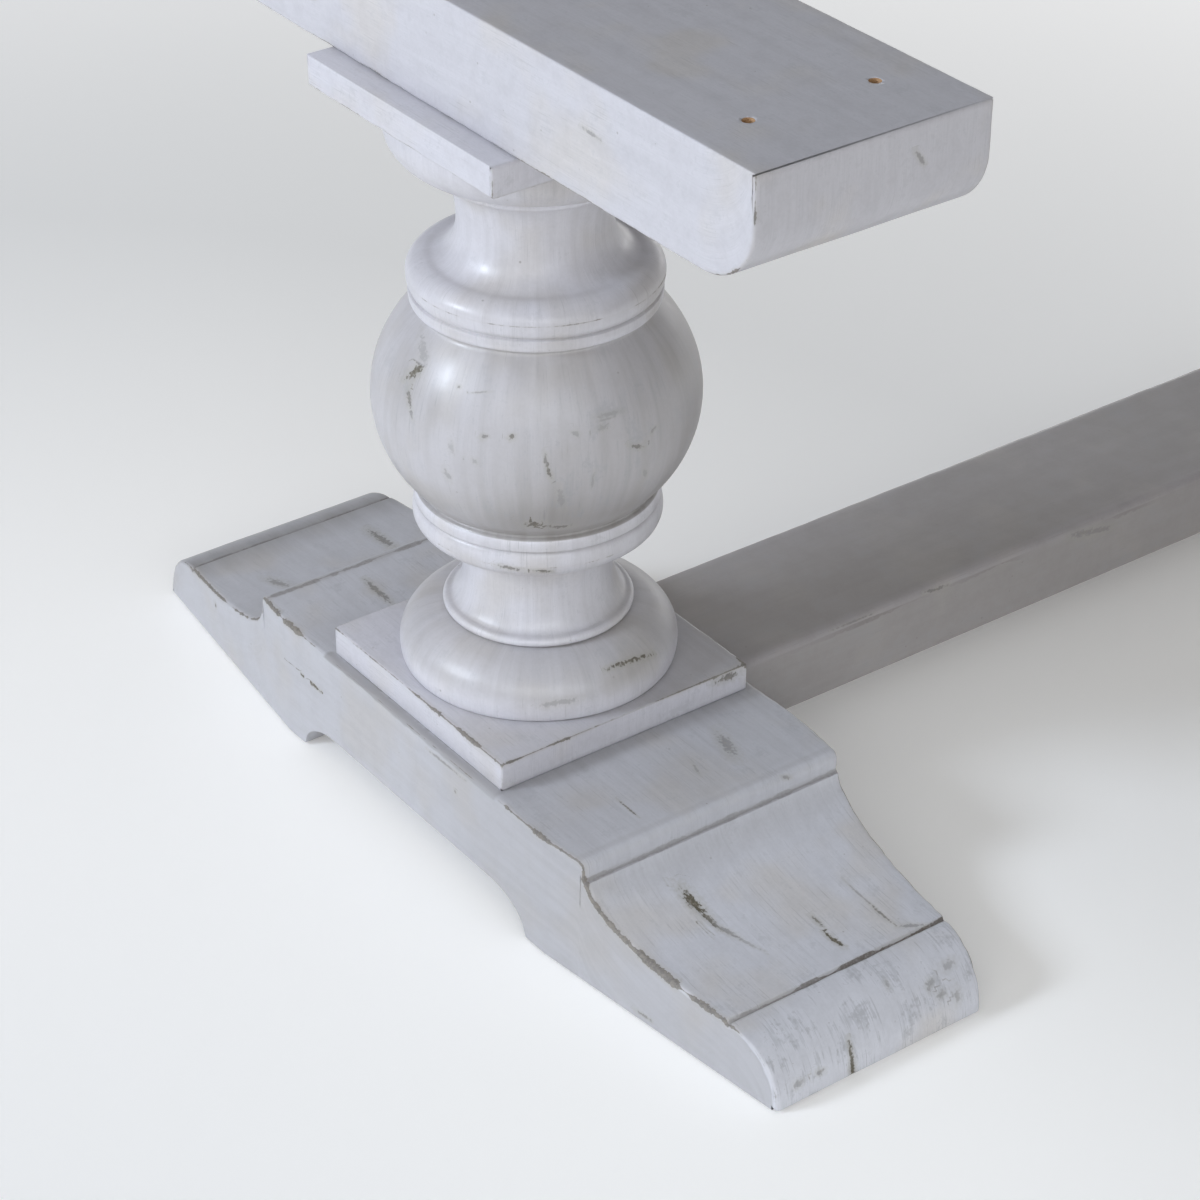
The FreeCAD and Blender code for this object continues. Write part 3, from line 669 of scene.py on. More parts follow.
# The creases: glaze and painted shade along the grooves and lips, and a band of painted shade just above
# each lip's rounding.
foot_skin["crease"], foot_skin["crease_glaze_and_shade"] = creases(foot_skin, [
    (along_at(foot_upper, crease_x, crease_bottom), near_glaze),
    (along_at(foot_upper, -crease_x, crease_bottom), 0.66),
    (along_at(foot_upper, lip_x, foot_top - lip_drop), 0.64),
    (along_at(foot_upper, -lip_x, foot_top - lip_drop), 0.7),
    (along_at(foot_upper, lip_x - lip_round, foot_top) - 0.0015, 0.42),
    (along_at(foot_upper, -lip_x + lip_round, foot_top) + 0.0015, 0.7)])
foot_skin["scuff"] = scuffed(foot_skin, foot_marks)
on_top = foot_skin["face"] == 0
# Painted shade on the top in the corners beside the plinth.
plinth_corner_shade = (np.abs(x_mm) < 74) & (np.abs(y_mm) > 72)
top_stain_and_shade = np.where(plinth_corner_shade, 0.9, table(top_glaze_and_shade, x_mm))
foot_skin["stain_and_shade"] = np.where(on_top, top_stain_and_shade, table(side_glaze_and_shade, x_mm))
foot_skin["rub"] = np.where(on_top, table(top_handling, x_mm), 0.12)
foot_waves = waves(foot_skin, (0.00010, 0.030, 21), (0.00005, 0.009, 22))
press_in(foot, foot_skin, foot_waves + dents(foot_skin, 0.0005))
dress(foot, foot_skin)
foot_paint = antique_paint("white paint on the foot", 4.0, streaks=0.8, cream=0.5, body=(205, 206, 213),
                           glaze=(149, 147, 148))
raw_wood = bare_wood("bare wood in the holes", 2.0)
coat(foot, foot_paint, raw_wood)
rod_bore = 0.0055
nut_pocket = 0.0145
nut_deep = 0.015
dowel_x = 0.040
dowel_bore = 0.0051
spill = 0.001
dowel_hole_deep = 0.023
glide_spots = [(x, y) for x in (-0.185, 0.185) for y in (-0.04996, 0.04996)]
glide_seat = 0.0122
glide_seat_deep = 0.002
glide_pin_hole = 0.0025
glide_pin_deep = 0.016
screw_x = 0.018
screw_y = 0.062
screw_head = 0.0047
screw_head_deep = 0.005
screw_hole = 0.0025
screw_deep = 0.033
tenon_low = Vector((-0.029, 0.046, 0.029))
tenon_high = Vector((0.029, foot_side, 0.049))
tenon_clear = 0.00015


def foot_bores(build):
    pin_cutter(build, 0, 0, [(arch_z - spill, nut_pocket), (arch_z + nut_deep, nut_pocket),
                             (arch_z + nut_deep, rod_bore), (foot_top + spill, rod_bore)])
    for x in (-dowel_x, dowel_x):
        pin_cutter(build, x, 0, [(foot_top - dowel_hole_deep, dowel_bore), (foot_top + spill, dowel_bore)])
    for x, y in glide_spots:
        pin_cutter(build, x, y, [(foot_pad - spill, glide_seat), (foot_pad + glide_seat_deep, glide_seat),
                                 (foot_pad + glide_seat_deep, glide_pin_hole),
                                 (foot_pad + glide_pin_deep, glide_pin_hole)])
    box_cutter(build, tenon_low - Vector((tenon_clear,) * 3),
               tenon_high + Vector((tenon_clear, spill, tenon_clear)))


def foot_screw_holes(build):
    for x in (-screw_x, screw_x):
        pin_cutter(build, x, screw_y, [(arch_z - spill, screw_head), (arch_z + screw_head_deep, screw_head),
                                       (arch_z + screw_head_deep, screw_hole),
                                       (arch_z + screw_deep, screw_hole)], 24)


cut(foot, foot_bores, foot_screw_holes)
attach(foot, "root")
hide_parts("foot")

# Glides
# Four black nylon discs with a pin behind, tapped into shallow recesses under the foot's pads.


def nylon(name):
    material, tree, shader, room = blank_finish(name)
    grit = cloud(tree, room, (0.5, 0.5, 0.5), 3.0, 3.0)
    smear = cloud(tree, room, (6, 6, 6), 5.0, 3.0)
    tree.links.new(mix(tree, ease(tree, smear, 0.35, 0.7), tone(34, 34, 35), tone(58, 57, 56)),
                   shader.inputs["Base Color"])
    tree.links.new(ease(tree, smear, 0.3, 0.7, 0.42, 0.6), shader.inputs["Roughness"])
    emboss(tree, shader, grit, 0.3, 0.0002)
    return material


def finish_node(node, material):
    """Gives a piece of the frame its finish."""
    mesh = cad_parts[node].data
    mesh.materials.clear()
    mesh.materials.append(material)


black_nylon = nylon("black nylon")
for glide in ("glide_far_outer", "glide_near_outer", "glide_far_inner", "glide_near_inner"):
    finish_node(glide, black_nylon)

# Stretcher
# A flat rail on its face, with a stub tenon in the foot's inner side and its long edges rounded over.
# Only the half up to the table's middle belongs to this leg, so its far end is sawn square.
rail_low, rail_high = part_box("stretcher")
rail_start = foot_side
rail_side = rail_high.x
rail_round = 0.0035
rail_end_round = 0.0006
rail_rows = {"carved": 44, "plain": 22, "side": 14}
rail_outline = chain((rail_start, rail_low.z + rail_end_round), (rail_start, rail_high.z),
                     (rail_high.y, rail_high.z), (rail_high.y, rail_low.z + rail_end_round))
rail_under = chain((rail_start + rail_end_round, rail_low.z), (rail_high.y - rail_end_round, rail_low.z))
rail, rail_skin = board("stretcher_rail", rail_outline, rail_under, lambda u: np.full(len(u), rail_side),
                        (rail_round, rail_round), rail_rows, 0.0022, turned=True, chatter=0.2, seed=31)
rail_skin["worn"] = evenly(rail_skin, 0.12)
cross_arrises(rail_skin, [(along_at(rail_outline, rail_high.y, rail_high.z), 0.4)])
# A painted shade line just under each rounded arris.
rail_skin["crease"] = np.abs(np.abs(rail_skin["across"]) - rail_side - rail_round - 0.0004)
rail_skin["crease_glaze_and_shade"] = 0.46 + 0.22 * ripple(rail_skin["along"][:, None], 0.045, 33)
rail_skin["rub"] = evenly(rail_skin, 0.3)
# Painted shade over the rail, kept off the arrises so that they stand out lighter as a painted highlight.
shade_off_arris = np.clip((rail_skin["arris"] - 0.001) / 0.005, 0, 1)
rail_skin["stain_and_shade"] = (0.48 + 0.2 * ripple(rail_skin["spots"], 0.06, 34)) * shade_off_arris
rail_skin["scuff"] = scuffed(rail_skin, [
    ((45, 316.5, 54.4), (45, 330, 52), 2.2, 0.55), ((45, 331, 51.5), (45, 342.5, 49.4), 1.6, 0.5),
    ((44.6, 213.6, 56.6), (44.8, 225, 56.0), 1.0, 0.7), ((44.3, 150, 57.4), (44.4, 176, 57.3), 0.5, 0.6)])
press_in(rail, rail_skin, waves(rail_skin, (0.00010, 0.034, 23), (0.00004, 0.010, 24)))
dress(rail, rail_skin)
# The stretcher's paint is darker all over, as painted shade.
rail_paint = antique_paint("white paint on the stretcher with painted shade", 21.0, streaks=0.8, cream=0.3, specks=0.8,
                           body=(167, 162, 163))
coat(rail, rail_paint, raw_wood)


def tenon(low, high, name, materials):
    """A sawn tenon, its end chamfered, as a closed block."""
    build = bmesh.new()
    box_cutter(build, low, high)
    front = [e for e in build.edges if all(abs(v.co.y - low.y) < 1e-6 for v in e.verts)]
    bmesh.ops.bevel(build, geom=front, offset=0.001, segments=2, affect="EDGES", profile=0.5)
    mesh = bpy.data.meshes.new(name)
    build.to_mesh(mesh)
    build.free()
    piece = bpy.data.objects.new(name, mesh)
    for material in materials:
        mesh.materials.append(material)
    bpy.context.scene.collection.objects.link(piece)
    return piece


stub = tenon(tenon_low, tenon_high, "stretcher_tenon", [raw_wood])
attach(rail, "root")
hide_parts("stretcher")
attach(stub, "root")
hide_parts("stretcher")

# Lower plinth
# A thin square block under the turning, with its upper edges and corners just eased.
plinth_low, plinth_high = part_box("lower_plinth")
plinth_side = plinth_high.x
plinth_thick = plinth_high.z - plinth_low.z
plinth_rows = {"carved": 60, "plain": 20, "side": 8}
# The side towards which the painted shade grows, +X and +Y.
shaded_side = np.array([0.59, 0.81, 0])
outer_edge_wear = ((-72, 0.4), (-30, 0.3), (-2, 0.3), (4, 0.86), (72, 0.84))
near_edge_wear = ((-72, 0.84), (-20, 0.8), (-14, 0.3), (16, 0.3), (24, 0.88), (72, 0.95))


def plinth(name, bottom, up, seed):
    """A plinth whose eased edges are above where up is 1, and below where it is -1."""
    base, face = (bottom, bottom + plinth_thick) if up == 1 else (bottom + plinth_thick, bottom)
    toe = base + up * 0.0005
    outline = chain((-plinth_side, toe), (-plinth_side, face), (plinth_side, face), (plinth_side, toe))
    under = chain((-plinth_side + 0.0005, base), (plinth_side - 0.0005, base))
    piece, skin = board(name, outline, under, lambda x: np.full(len(x), plinth_side), (0.0013, 0.0004),
                        plinth_rows, 0.0022, up=up, chatter=0.8, seed=seed)
    skin["crease"], skin["crease_glaze_and_shade"] = creases(skin, [])
    skin["rub"] = evenly(skin, 0.35)
    open_face = (skin["face"] == 0) & (np.abs(skin["place"][:, 2] - face) < 0.0008)
    # Painted shade on the open face, darker towards the +X and +Y side.
    skin["stain_and_shade"] = np.where(open_face, 0.30 + 0.24 * skin["place"] @ shaded_side / plinth_side, 0.0)
    return piece, skin, outline, face


def plinth_bores(z):
    def draw(build):
        for x, radius in ((0, rod_bore), (-dowel_x, dowel_bore), (dowel_x, dowel_bore)):
            pin_cutter(build, x, 0, [(z - spill, radius), (z + plinth_thick + spill, radius)])
    return draw


lower_plinth, lower_skin, lower_outline, lower_face = plinth("lower_plinth_block", plinth_low.z, 1, 41)
x_mm, y_mm, z_mm = (lower_skin["place"][:, k] * 1000 for k in range(3))
upright = (np.abs(x_mm) > 70) & (np.abs(y_mm) > 70) & (z_mm < 81)
edge_wear = np.where(y_mm < 0, table(outer_edge_wear, x_mm), 0.4)
lower_skin["worn"] = np.where(upright, 0.15, edge_wear)
cross_arrises(lower_skin, [(along_at(lower_outline, plinth_side, lower_face), 0.6),
                           (along_at(lower_outline, -plinth_side, lower_face), 0.35)])
near_edge = (x_mm > 66) & (lower_skin["arris"] < 0.006) & ~upright
lower_skin["worn"][near_edge] = table(near_edge_wear, y_mm[near_edge])
lower_skin["scuff"] = scuffed(lower_skin, [((72.5, 56, 79.6), (72.5, 64, 79.3), 2.0, 0.8),
                                           ((-55, -72.5, 83), (-50, -72.5, 82.7), 0.6, 0.5)])
press_in(lower_plinth, lower_skin, waves(lower_skin, (0.00008, 0.022, 25)))
dress(lower_plinth, lower_skin)
lower_paint = antique_paint("white paint on the lower plinth", 33.0, streaks=0.7, cream=0.4,
                            body=(205, 204, 211))
coat(lower_plinth, lower_paint, raw_wood)
cut(lower_plinth, plinth_bores(plinth_low.z))
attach(lower_plinth, "root")
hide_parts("lower_plinth")

# Dowels
# Two plain beech dowels under the post and two over it, which keep the post from turning on its rod.
for dowels in ("lower_dowels", "upper_dowels"):
    finish_node(dowels, raw_wood)

# Turned post
# One turning: a base swell, a bead, a coved neck, a ring with a collar and the ball, and the same members in
# reverse above it. The paint was brushed on up and down while the lathe stood still.
post_low, post_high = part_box("turned_post")
post_foot = post_low.z
ball_z = (post_low.z + post_high.z) / 2
ball_radius = post_high.x
ball_half = 0.0682
ball_seat = 0.049
base_top = post_foot + 0.028
bead_top = base_top + 0.0052
cove_z = bead_top + 0.022
neck_top = base_top + 0.0452
ring_mid = neck_top + 0.0085
ring_top = ring_mid + 0.007
quirk_z = ring_top + 0.0008
collar_top = quirk_z + 0.0066
base_foot = 0.0656
base_radius = 0.0677
base_belly = post_foot + 0.008
shoulder = 0.0434
bead_radius = 0.0463
bead_mid = base_top + 0.0026
waist = 0.0360
ring_foot = 0.0490
ring_radius = 0.0597
ring_lip = 0.0573
collar_radius = 0.0589
collar_round = 0.0042
collar_ledge = 0.0567
seat_z = ball_z - ball_seat
seat_angle = asin(ball_seat / ball_half)
seat_radius = ball_radius * cos(seat_angle)
seat_corner = (0.0556, collar_top + 0.0002)
seat_row = 9
post_sides = 224
post_step = 0.0019
post_turn = 0.20
post_dowel_deep = 0.021
ball_count = 120
latitudes = np.linspace(-seat_angle, 0, ball_count)
ball_arc = np.column_stack([ball_radius * np.cos(latitudes), ball_z + ball_half * np.sin(latitudes)])
post_half = chain(
    (base_foot, post_foot),
    quarter((base_foot, post_foot), (base_radius, post_foot), (base_radius, base_belly), 16),
    quarter((base_radius, base_belly), (base_radius, base_top), (shoulder, base_top)),
    quarter((shoulder, base_top), (bead_radius, base_top), (bead_radius, bead_mid), 16),
    quarter((bead_radius, bead_mid), (bead_radius, bead_top), (shoulder, bead_top), 16),
    quarter((shoulder, bead_top), (waist, bead_top), (waist, cove_z)),
    quarter((waist, cove_z), (waist, neck_top), (ring_foot, neck_top)),
    quarter((ring_foot, neck_top), (ring_radius, neck_top), (ring_radius, ring_mid)),
    quarter((ring_radius, ring_mid), (ring_radius, ring_top), (ring_lip, ring_top), 20),
    (collar_radius, quirk_z),
    quarter((collar_radius, collar_top - collar_round), (collar_radius, collar_top),
            (collar_ledge, collar_top), 20),
    quarter((collar_ledge, collar_top), seat_corner, ball_arc[seat_row], 16), ball_arc[seat_row + 1:])
post_outline = np.vstack([post_half, post_half[-2::-1] * (1, -1) + (0, 2 * ball_z)])


def turning(name, outline, bore, step, turn, sides, soften):
    """A turned piece as one closed mesh, with a bore down its axis."""
    along, path, heading = trace(outline, soften)
    at = columns(along, heading, step, turn)
    profile = read(at, along, path)
    profile[0], profile[-1] = outline[0], outline[-1]
    low, high = profile[0, 1], profile[-1, 1]
    core = [(bore, high - (high - low) * t) for t in np.linspace(0, 1, 8)]
    ends = np.array([(bore + (outline[-1, 0] - bore) * t, high) for t in np.linspace(0.8, 0.2, 4)] + core
                    + [(bore + (outline[0, 0] - bore) * t, low) for t in np.linspace(0.2, 0.8, 4)])
    loop = np.vstack([profile, ends])
    turns = np.arange(sides) * 2 * pi / sides
    spots = np.stack([loop[:, :1] * np.cos(turns), loop[:, :1] * np.sin(turns),
                      np.repeat(loop[:, 1:], sides, axis=1)], axis=-1)
    count = len(loop)
    k, j = np.meshgrid(np.arange(count), np.arange(sides), indexing="ij")
    here, above = k * sides, (k + 1) % count * sides
    beside = (j + 1) % sides
    quads = np.stack([here + j, here + beside, above + beside, above + j], axis=-1).reshape(-1, 4)
    run = np.concatenate([at, np.full(len(ends), at[-1])])
    skin = {"along": np.repeat(run, sides), "spots": spots.reshape(-1, 3), "turns": np.tile(turns, count)}
    skin["face"] = np.repeat((np.arange(count) >= len(profile)).astype(float), sides)
    skin["across"] = 0.060 * np.cos(skin["turns"])
    skin["deep"] = 0.060 * np.sin(skin["turns"])
    return solid(name, skin["spots"], quads.tolist()), skin


post, post_skin = turning("ball_post", post_outline, rod_bore, post_step, post_turn, post_sides, 0.00035)
post_corner = [(along_at(post_outline, shoulder, base_top), 0.30),
               (along_at(post_outline, shoulder, bead_top), 0.62),
               (along_at(post_outline, ring_lip, ring_top), 0.40),
               (along_at(post_outline, seat_radius, seat_z), 0.0),
               (along_at(post_outline, ring_foot, neck_top), 0.30)]
post_long = along_at(post_outline, *post_outline[-1])
post_corner += [(post_long - where, amount) for where, amount in post_corner]
post_skin["crease"], post_skin["crease_glaze_and_shade"] = creases(post_skin, post_corner)


def ease_in(value, low, high):
    share = np.clip((value - low) / (high - low), 0, 1)
    return share * share * (3 - 2 * share)


def patch_near(spots, centre, reach):
    """1 at the centre of a patch, fading out over its reach."""
    return np.exp(-((spots - centre) ** 2).sum(axis=1) / reach ** 2)


spots, heights = post_skin["spots"], post_skin["spots"][:, 2]
around = np.column_stack([np.cos(post_skin["turns"]), np.sin(post_skin["turns"])]) * 0.05
low_front = patch_near(spots, (0.054, -0.036, 0.200), 0.030)
mid_right = patch_near(spots, (0.074, -0.006, 0.238), 0.030)
left_mark = patch_near(spots, (0.005, -0.072, 0.248), 0.016)
post_skin["rub"] = 0.26 + 0.6 * low_front + 0.35 * mid_right + 0.5 * left_mark
over_seat = (heights - seat_z) / 0.034
on_ball = np.abs(heights - ball_z) < ball_seat
# Painted shade on the turning: darker towards the +X and +Y side, and on the ball darker towards its bottom,
# partly as stain and partly as painted shade, with stain at the marks.
toward_shaded_side = np.clip(spots @ shaded_side / ball_radius, 0, 1)
ball_stain_and_shade = 0.54 + 0.30 * np.clip(1 - over_seat, 0, 1) + 0.30 * low_front + 0.27 * toward_shaded_side + 0.2 * left_mark
post_skin["stain_and_shade"] = np.where(on_ball, ball_stain_and_shade, 0.27 + 0.13 * toward_shaded_side)
up_base = (heights - post_foot) / 0.028
# The base swell is darker over its upper part and lighter low down, where a painted highlight lies.
base_highlight_and_darkening = 0.26 * ease_in(up_base, 0.25, 0.6) - 0.19 * ease_in(-up_base, -0.55, -0.1)
post_skin["stain_and_shade"] += np.where(up_base < 1, base_highlight_and_darkening, 0)
# Painted highlights: lighter bands along the collar's top edge, the ring and the bead, top and bottom.
for rim, painted_highlight in ((collar_top - 0.0012, 0.24), (ring_mid + 0.004, 0.08), (bead_top - 0.0026, 0.18)):
    for z in (rim, 2 * ball_z - rim):
        post_skin["stain_and_shade"] -= np.where(on_ball, 0, painted_highlight * np.exp(-((heights - z) / 0.0022) ** 2))
post_skin["crease_glaze_and_shade"] *= 0.75 + 0.45 * ripple(np.column_stack([around, post_skin["along"] * 0.2]), 0.021, 51)
post_skin["arris"] = evenly(post_skin, 0.05)
post_skin["worn"] = evenly(post_skin, 0.0)
ring_at = along_at(post_outline, ring_radius, ring_mid)
for place in (ring_at, post_long - ring_at):
    gap = np.abs(post_skin["along"] - place)
    near = gap < post_skin["arris"]
    post_skin["arris"][near] = gap[near]
    post_skin["worn"][near] = 0.30
post_skin["scuff"] = scuffed(post_skin, [
    ((61.8, -2.5, 104), (60.4, 22.1, 101), 1.3, 0.9), ((56.6, -36.6, 93.7), (62.8, -23.7, 94.8), 1.5, 0.4),
    ((36.5, -47.4, 164), (43.0, -41.5, 163.4), 1.1, 0.75),
    ((48.0, -34.4, 162.7), (50.8, -30.2, 162.2), 1.0, 0.8),
    ((52.6, -40.6, 191.8), (54.3, -37.9, 192.4), 2.6, 0.85),
    ((56.3, -31.7, 189.6), (58.9, -24.6, 188.2), 1.5, 0.75),
    ((64.9, -41.3, 234.8), (65.3, -41.0, 231), 0.7, 0.7),
    ((65.6, -40.6, 229), (66.4, -39.7, 224.6), 0.9, 0.8),
    ((64.5, -41.5, 206.5), (62.6, -41.3, 202.5), 0.9, 0.35),
    ((0.9, -70.1, 256), (5.1, -67.3, 260.5), 2.1, 0.95),
    ((3.4, -73.1, 249.4), (6.8, -74.6, 244.6), 1.3, 0.75),
    ((7.6, -75.0, 243), (9.8, -75.4, 239.7), 0.8, 0.6),
    ((45.0, -60.8, 241.2), (45.6, -60.4, 241.6), 1.1, 0.7),
    ((54.4, -52.1, 242.6), (54.8, -51.7, 243), 1.2, 0.8),
    ((28.0, -62.0, 259.5), (28.4, -61.8, 259.5), 0.8, 0.7),
    ((77.2, -1.7, 231.8), (77.2, 2.5, 229.6), 1.1, 0.75),
    ((76.3, 9.6, 234.4), (75.8, 11.6, 235.9), 0.9, 0.5),
    ((33.9, -59.9, 258.3), (39.9, -54.8, 259.9), 0.4, 0.5),
    ((71.5, -15.9, 249.2), (73.2, -6.1, 248.8), 1.1, 0.35),
    ((73.1, -16.5, 244.1), (73.2, -14, 243.8), 1.4, 0.35),
    ((69.7, -28.1, 243.7), (70, -27.4, 243.2), 1.2, 0.4),
    ((67.6, -35.1, 214.8), (66.0, -32.9, 206.4), 1.6, 0.4),
    ((76, 6.1, 215.3), (75.8, 6.9, 213), 1.3, 0.35), ((74.3, -20.9, 222.5), (73.2, -21.5, 215.3), 0.7, 0.35),
    ((29.7, -71, 219.2), (30.4, -70.5, 216.8), 1.5, 0.4), ((32.5, -69.7, 234.5), (33, -69.5, 232), 1.5, 0.3),
    ((42.8, -64.5, 229.2), (43.6, -64, 228.6), 1.2, 0.35), ((-2.4, -61, 269), (5, -65, 264), 2.4, 0.4),
    ((56.2, -29.8, 188.2), (56.6, -30, 189.6), 1.2, 0.7)])
tool_lines = 0.00003 * (1 + ripple(post_skin["along"][:, None], 0.0016, 53))
post_depth = tool_lines + waves(post_skin, (0.00010, 0.028, 54)) + dents(post_skin, 0.0004)
press_in(post, post_skin, np.where(post_skin["face"] == 0, post_depth, 0))
dress(post, post_skin)
post_paint = antique_paint("white paint on the post", 45.0, streaks=0.7, cream=0.5, body=(219, 218, 225))
coat(post, post_paint, raw_wood)


def post_bores(build):
    for x in (-dowel_x, dowel_x):
        pin_cutter(build, x, 0, [(post_low.z - spill, dowel_bore),
                                 (post_low.z + post_dowel_deep, dowel_bore)])
        pin_cutter(build, x, 0, [(post_high.z - post_dowel_deep, dowel_bore),
                                 (post_high.z + spill, dowel_bore)])


cut(post, post_bores)
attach(post, "root")
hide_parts("turned_post")

# Upper plinth
# The same block as the lower plinth, turned over, between the post and the bearer.
upper_low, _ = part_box("upper_plinth")
upper_plinth, upper_skin, upper_outline, upper_face = plinth("upper_plinth_block", upper_low.z, -1, 61)
upper_skin["worn"] = evenly(upper_skin, 0.45)
cross_arrises(upper_skin, [(along_at(upper_outline, plinth_side, upper_face), 0.5),
                           (along_at(upper_outline, -plinth_side, upper_face), 0.4)])
upper_skin["scuff"] = scuffed(upper_skin, [])
press_in(upper_plinth, upper_skin, waves(upper_skin, (0.00008, 0.022, 26)))
dress(upper_plinth, upper_skin)
upper_paint = antique_paint("white paint on the upper plinth", 57.0, streaks=0.7, cream=0.4,
                            body=(205, 204, 211))
coat(upper_plinth, upper_paint, raw_wood)
cut(upper_plinth, plinth_bores(upper_low.z))
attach(upper_plinth, "root")
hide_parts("upper_plinth")

# Bearer
# A rail across the head of the leg, rounded off underneath at both ends. The table top is screwed down on it
# from below, through four holes that are counterbored for the screws' heads.
bearer_low, bearer_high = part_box("top_bearer")
bearer_end = bearer_high.x
bearer_top = bearer_high.z
nose_long = 0.034
nose_high = 0.030
bearer_rows = {"carved": 60, "plain": 60, "side": 16}
bearer_outline = mirrored(chain(
    (0, bearer_low.z), quarter((bearer_end - nose_long, bearer_low.z), (bearer_end, bearer_low.z),
                               (bearer_end, bearer_low.z + nose_high)), (bearer_end, bearer_top - 0.0006)))
bearer_face = chain((-bearer_end + 0.0006, bearer_top), (bearer_end - 0.0006, bearer_top))
bearer, bearer_skin = board("table_bearer", bearer_outline, bearer_face,
                            lambda x: np.full(len(x), bearer_high.y), (0.0019, 0.0008), bearer_rows, 0.0024,
                            up=-1, chatter=0.5, seed=71)
bearer_skin["worn"] = 0.6 + 0.35 * ripple(bearer_skin["spots"], 0.05, 72)
bearer_skin["crease"], bearer_skin["crease_glaze_and_shade"] = creases(bearer_skin, [])
bearer_skin["rub"] = evenly(bearer_skin, 0.3)
bearer_skin["stain_and_shade"] = evenly(bearer_skin, 0.0)
bearer_skin["scuff"] = scuffed(bearer_skin, [
    ((120, -60, 418), (131, -60, 417), 0.8, 0.6), ((229.8, 20, 427), (229.8, 24, 422), 1.0, 0.6),
    ((-90, -60, 404), (-84, -60, 405), 0.7, 0.5)])
press_in(bearer, bearer_skin, waves(bearer_skin, (0.00010, 0.034, 27), (0.00004, 0.010, 28)))
dress(bearer, bearer_skin)
coat(bearer, antique_paint("white paint on the bearer", 69.0, streaks=0.9, cream=0.5), raw_wood)
table_hole_x = 0.190
table_hole_y = 0.032
table_land = 0.022
table_hole = 0.00275
screw_pocket = 0.007


def bearer_bores(build):
    pin_cutter(build, 0, 0, [(bearer_low.z - spill, rod_bore), (bearer_top - nut_deep, rod_bore),
                             (bearer_top - nut_deep, nut_pocket), (bearer_top + spill, nut_pocket)])
    for x in (-dowel_x, dowel_x):
        pin_cutter(build, x, 0, [(bearer_low.z - spill, dowel_bore),
                                 (bearer_low.z + dowel_hole_deep, dowel_bore)])
    for x in (-table_hole_x, table_hole_x):
        for y in (-table_hole_y, table_hole_y):
            pin_cutter(build, x, y, [(bearer_low.z - spill, screw_pocket),
                                     (bearer_top - table_land, screw_pocket),
                                     (bearer_top - table_land, table_hole),
                                     (bearer_top + spill, table_hole)])


cut(bearer, bearer_bores)
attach(bearer, "root")
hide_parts("top_bearer")

# Tie rod, washers, nuts and screws
# Zinc-plated steel: the rod runs through every block and is drawn tight by a nut and washer at each end.
# Two wood screws go up through the foot into the stretcher's tenon.


def zinc(name, seed):
    material, tree, shader, room = blank_finish(name)
    bloom = cloud(tree, room, (5, 5, 5), seed, 4.0, 0.6)
    rub = cloud(tree, room, (0.4, 0.4, 3), seed + 2, 3.0)
    colour = mix(tree, ease(tree, bloom, 0.35, 0.68), tone(196, 198, 200), tone(160, 162, 164))
    tree.links.new(colour, shader.inputs["Base Color"])
    shader.inputs["Metallic"].default_value = 1.0
    tree.links.new(ease(tree, bloom, 0.3, 0.7, 0.26, 0.46), shader.inputs["Roughness"])
    emboss(tree, shader, rub, 0.3, 0.0001)
    return material


zinc_plate = zinc("zinc plate", 5.0)
for fixing in ("tie_rod", "lower_washer", "lower_nut", "upper_washer", "upper_nut", "stretcher_screws"):
    finish_node(fixing, zinc_plate)

# Studio
# A pale floor without an edge, a low window of light from the front left, a broad screen from the right,
# weak ones from behind and close by, and even light from all round.
floor_half = 30.0
floor_mesh = bpy.data.meshes.new("floor")
floor_corners = [(-1, -1), (1, -1), (1, 1), (-1, 1)]
floor_mesh.from_pydata([(x * floor_half, y * floor_half, 0) for x, y in floor_corners], [], [(0, 1, 2, 3)])
floor = bpy.data.objects.new("floor", floor_mesh)
bpy.context.scene.collection.objects.link(floor)
floor_paint, floor_tree, floor_shader, _ = blank_finish("pale floor")
floor_shader.inputs["Base Color"].default_value = (0.93, 0.92, 0.90, 1)
floor_shader.inputs["Roughness"].default_value = 0.85
floor_shader.inputs["Specular IOR Level"].default_value = 0.1
floor_shader.inputs["Emission Color"].default_value = (1, 1, 1, 1)
spot = add(floor_tree, "ShaderNodeTexCoord", {}).outputs["Object"]
away = add(floor_tree, "ShaderNodeVectorMath", {0: spot, 1: (0.1, -0.7, 0)},
           operation="DISTANCE").outputs["Value"]
glow = {"Value": away, "From Min": 1.15, "From Max": 2.2, "To Min": 0.10, "To Max": 0.56}
floor_tree.links.new(add(floor_tree, "ShaderNodeMapRange", glow).outputs[0],
                     floor_shader.inputs["Emission Strength"])
floor_mesh.materials.append(floor_paint)


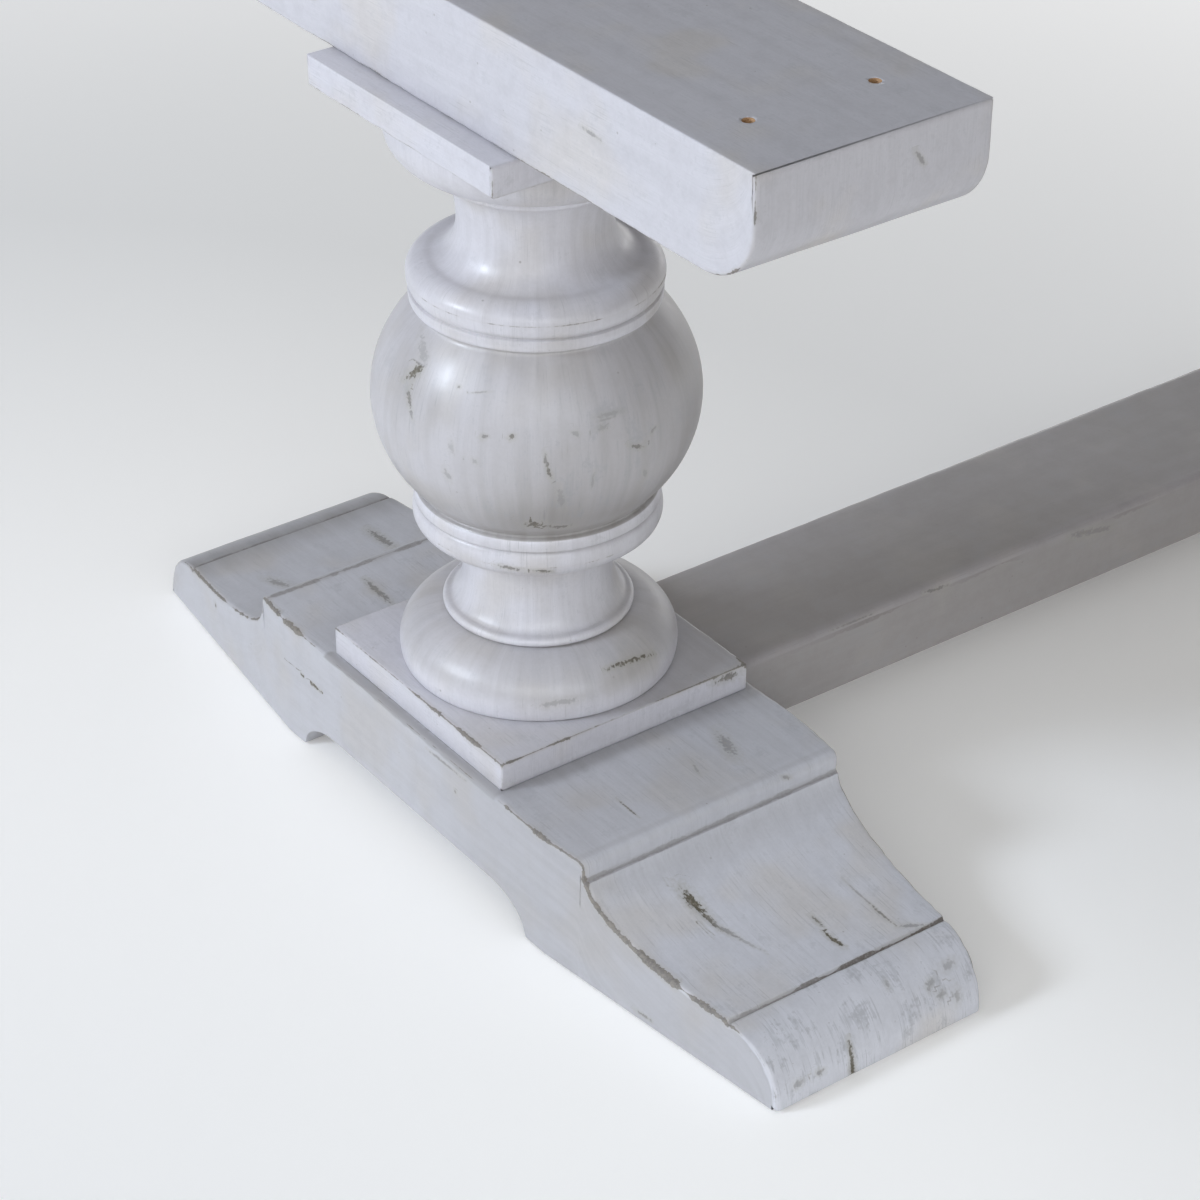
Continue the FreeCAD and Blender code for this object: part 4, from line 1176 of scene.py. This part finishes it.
def lamp(name, target, azimuth, height, distance, wide, tall, watts, colour, beam=180):
    """A soft box of light that looks at a target. Azimuth 0 stands at -Y and turns towards +X."""
    turn, lift = azimuth * pi / 180, height * pi / 180
    way = Vector((sin(turn) * cos(lift), -cos(turn) * cos(lift), sin(lift)))
    light = bpy.data.lights.new(name, "AREA")
    light.shape = "RECTANGLE"
    light.size, light.size_y = wide, tall
    light.energy = watts
    light.spread = beam * pi / 180
    light.color = colour
    body = bpy.data.objects.new(name, light)
    body.location = Vector(target) + way * distance
    body.rotation_euler = way.to_track_quat("Z", "Y").to_euler()
    body.visible_camera = False
    bpy.context.scene.collection.objects.link(body)


lamp("window", (0, 0.05, 0.2), -17, 28, 2.6, 0.62, 0.62, 32, (0.89, 0.985, 1.125))
lamp("screen", (0, 0, 0.2), 44, 25, 2.8, 2.4, 1.5, 22, (0.99, 1.0, 1.01))
lamp("rear screen", (0, 0, 0.2), 212, 5, 3.2, 2.4, 0.7, 11, (1.0, 1.0, 1.0))
lamp("near screen", (0.24, -0.02, 0.02), 78, 32, 0.7, 0.5, 0.4, 0.25, (0.95, 1.0, 1.05), 64)
lamp("far screen", (-0.2, 0, 0.05), -40, 60, 0.9, 0.6, 0.5, 0.157, (1.06, 1.0, 0.94), 64)
world = bpy.data.worlds.new("studio")
world.use_nodes = True
sky = world.node_tree
lift = add(sky, "ShaderNodeSeparateXYZ",
           {0: add(sky, "ShaderNodeTexCoord", {}).outputs["Generated"]}).outputs[2]
seen = add(sky, "ShaderNodeLightPath", {}).outputs["Is Camera Ray"]
strength = sum_of(sky, "MAXIMUM", sum_of(sky, "MULTIPLY_ADD", lift, 0.15, 0.15),
                  sum_of(sky, "MULTIPLY", seen, 0.80))
sky.links.new(strength, sky.nodes["Background"].inputs["Strength"])
sky.nodes["Background"].inputs["Color"].default_value = (1.0, 1.0, 1.0, 1)
bpy.context.scene.world = world
bpy.context.scene.view_settings.view_transform = "Standard"

# Camera
# The photograph's own viewpoint, solved from the foot's and stretcher's straight edges.
camera_data = bpy.data.cameras.new("camera")
camera_data.sensor_width = 36
camera_data.lens = 99.42
camera_data.clip_end = 100
camera = bpy.data.objects.new("camera", camera_data)
bpy.context.scene.collection.objects.link(camera)
camera_place = (1.1068, -0.7742, 0.9748)
camera_right = Vector((0.5898, 0.8075, 0.0024))
camera_up = Vector((-0.4370, 0.3167, 0.8419))
camera_back = Vector((0.6791, -0.4976, 0.5397))
looking = Matrix((camera_right, camera_up, camera_back)).transposed()
camera.matrix_world = Matrix.Translation(camera_place) @ looking.to_4x4()
bpy.context.scene.camera = camera
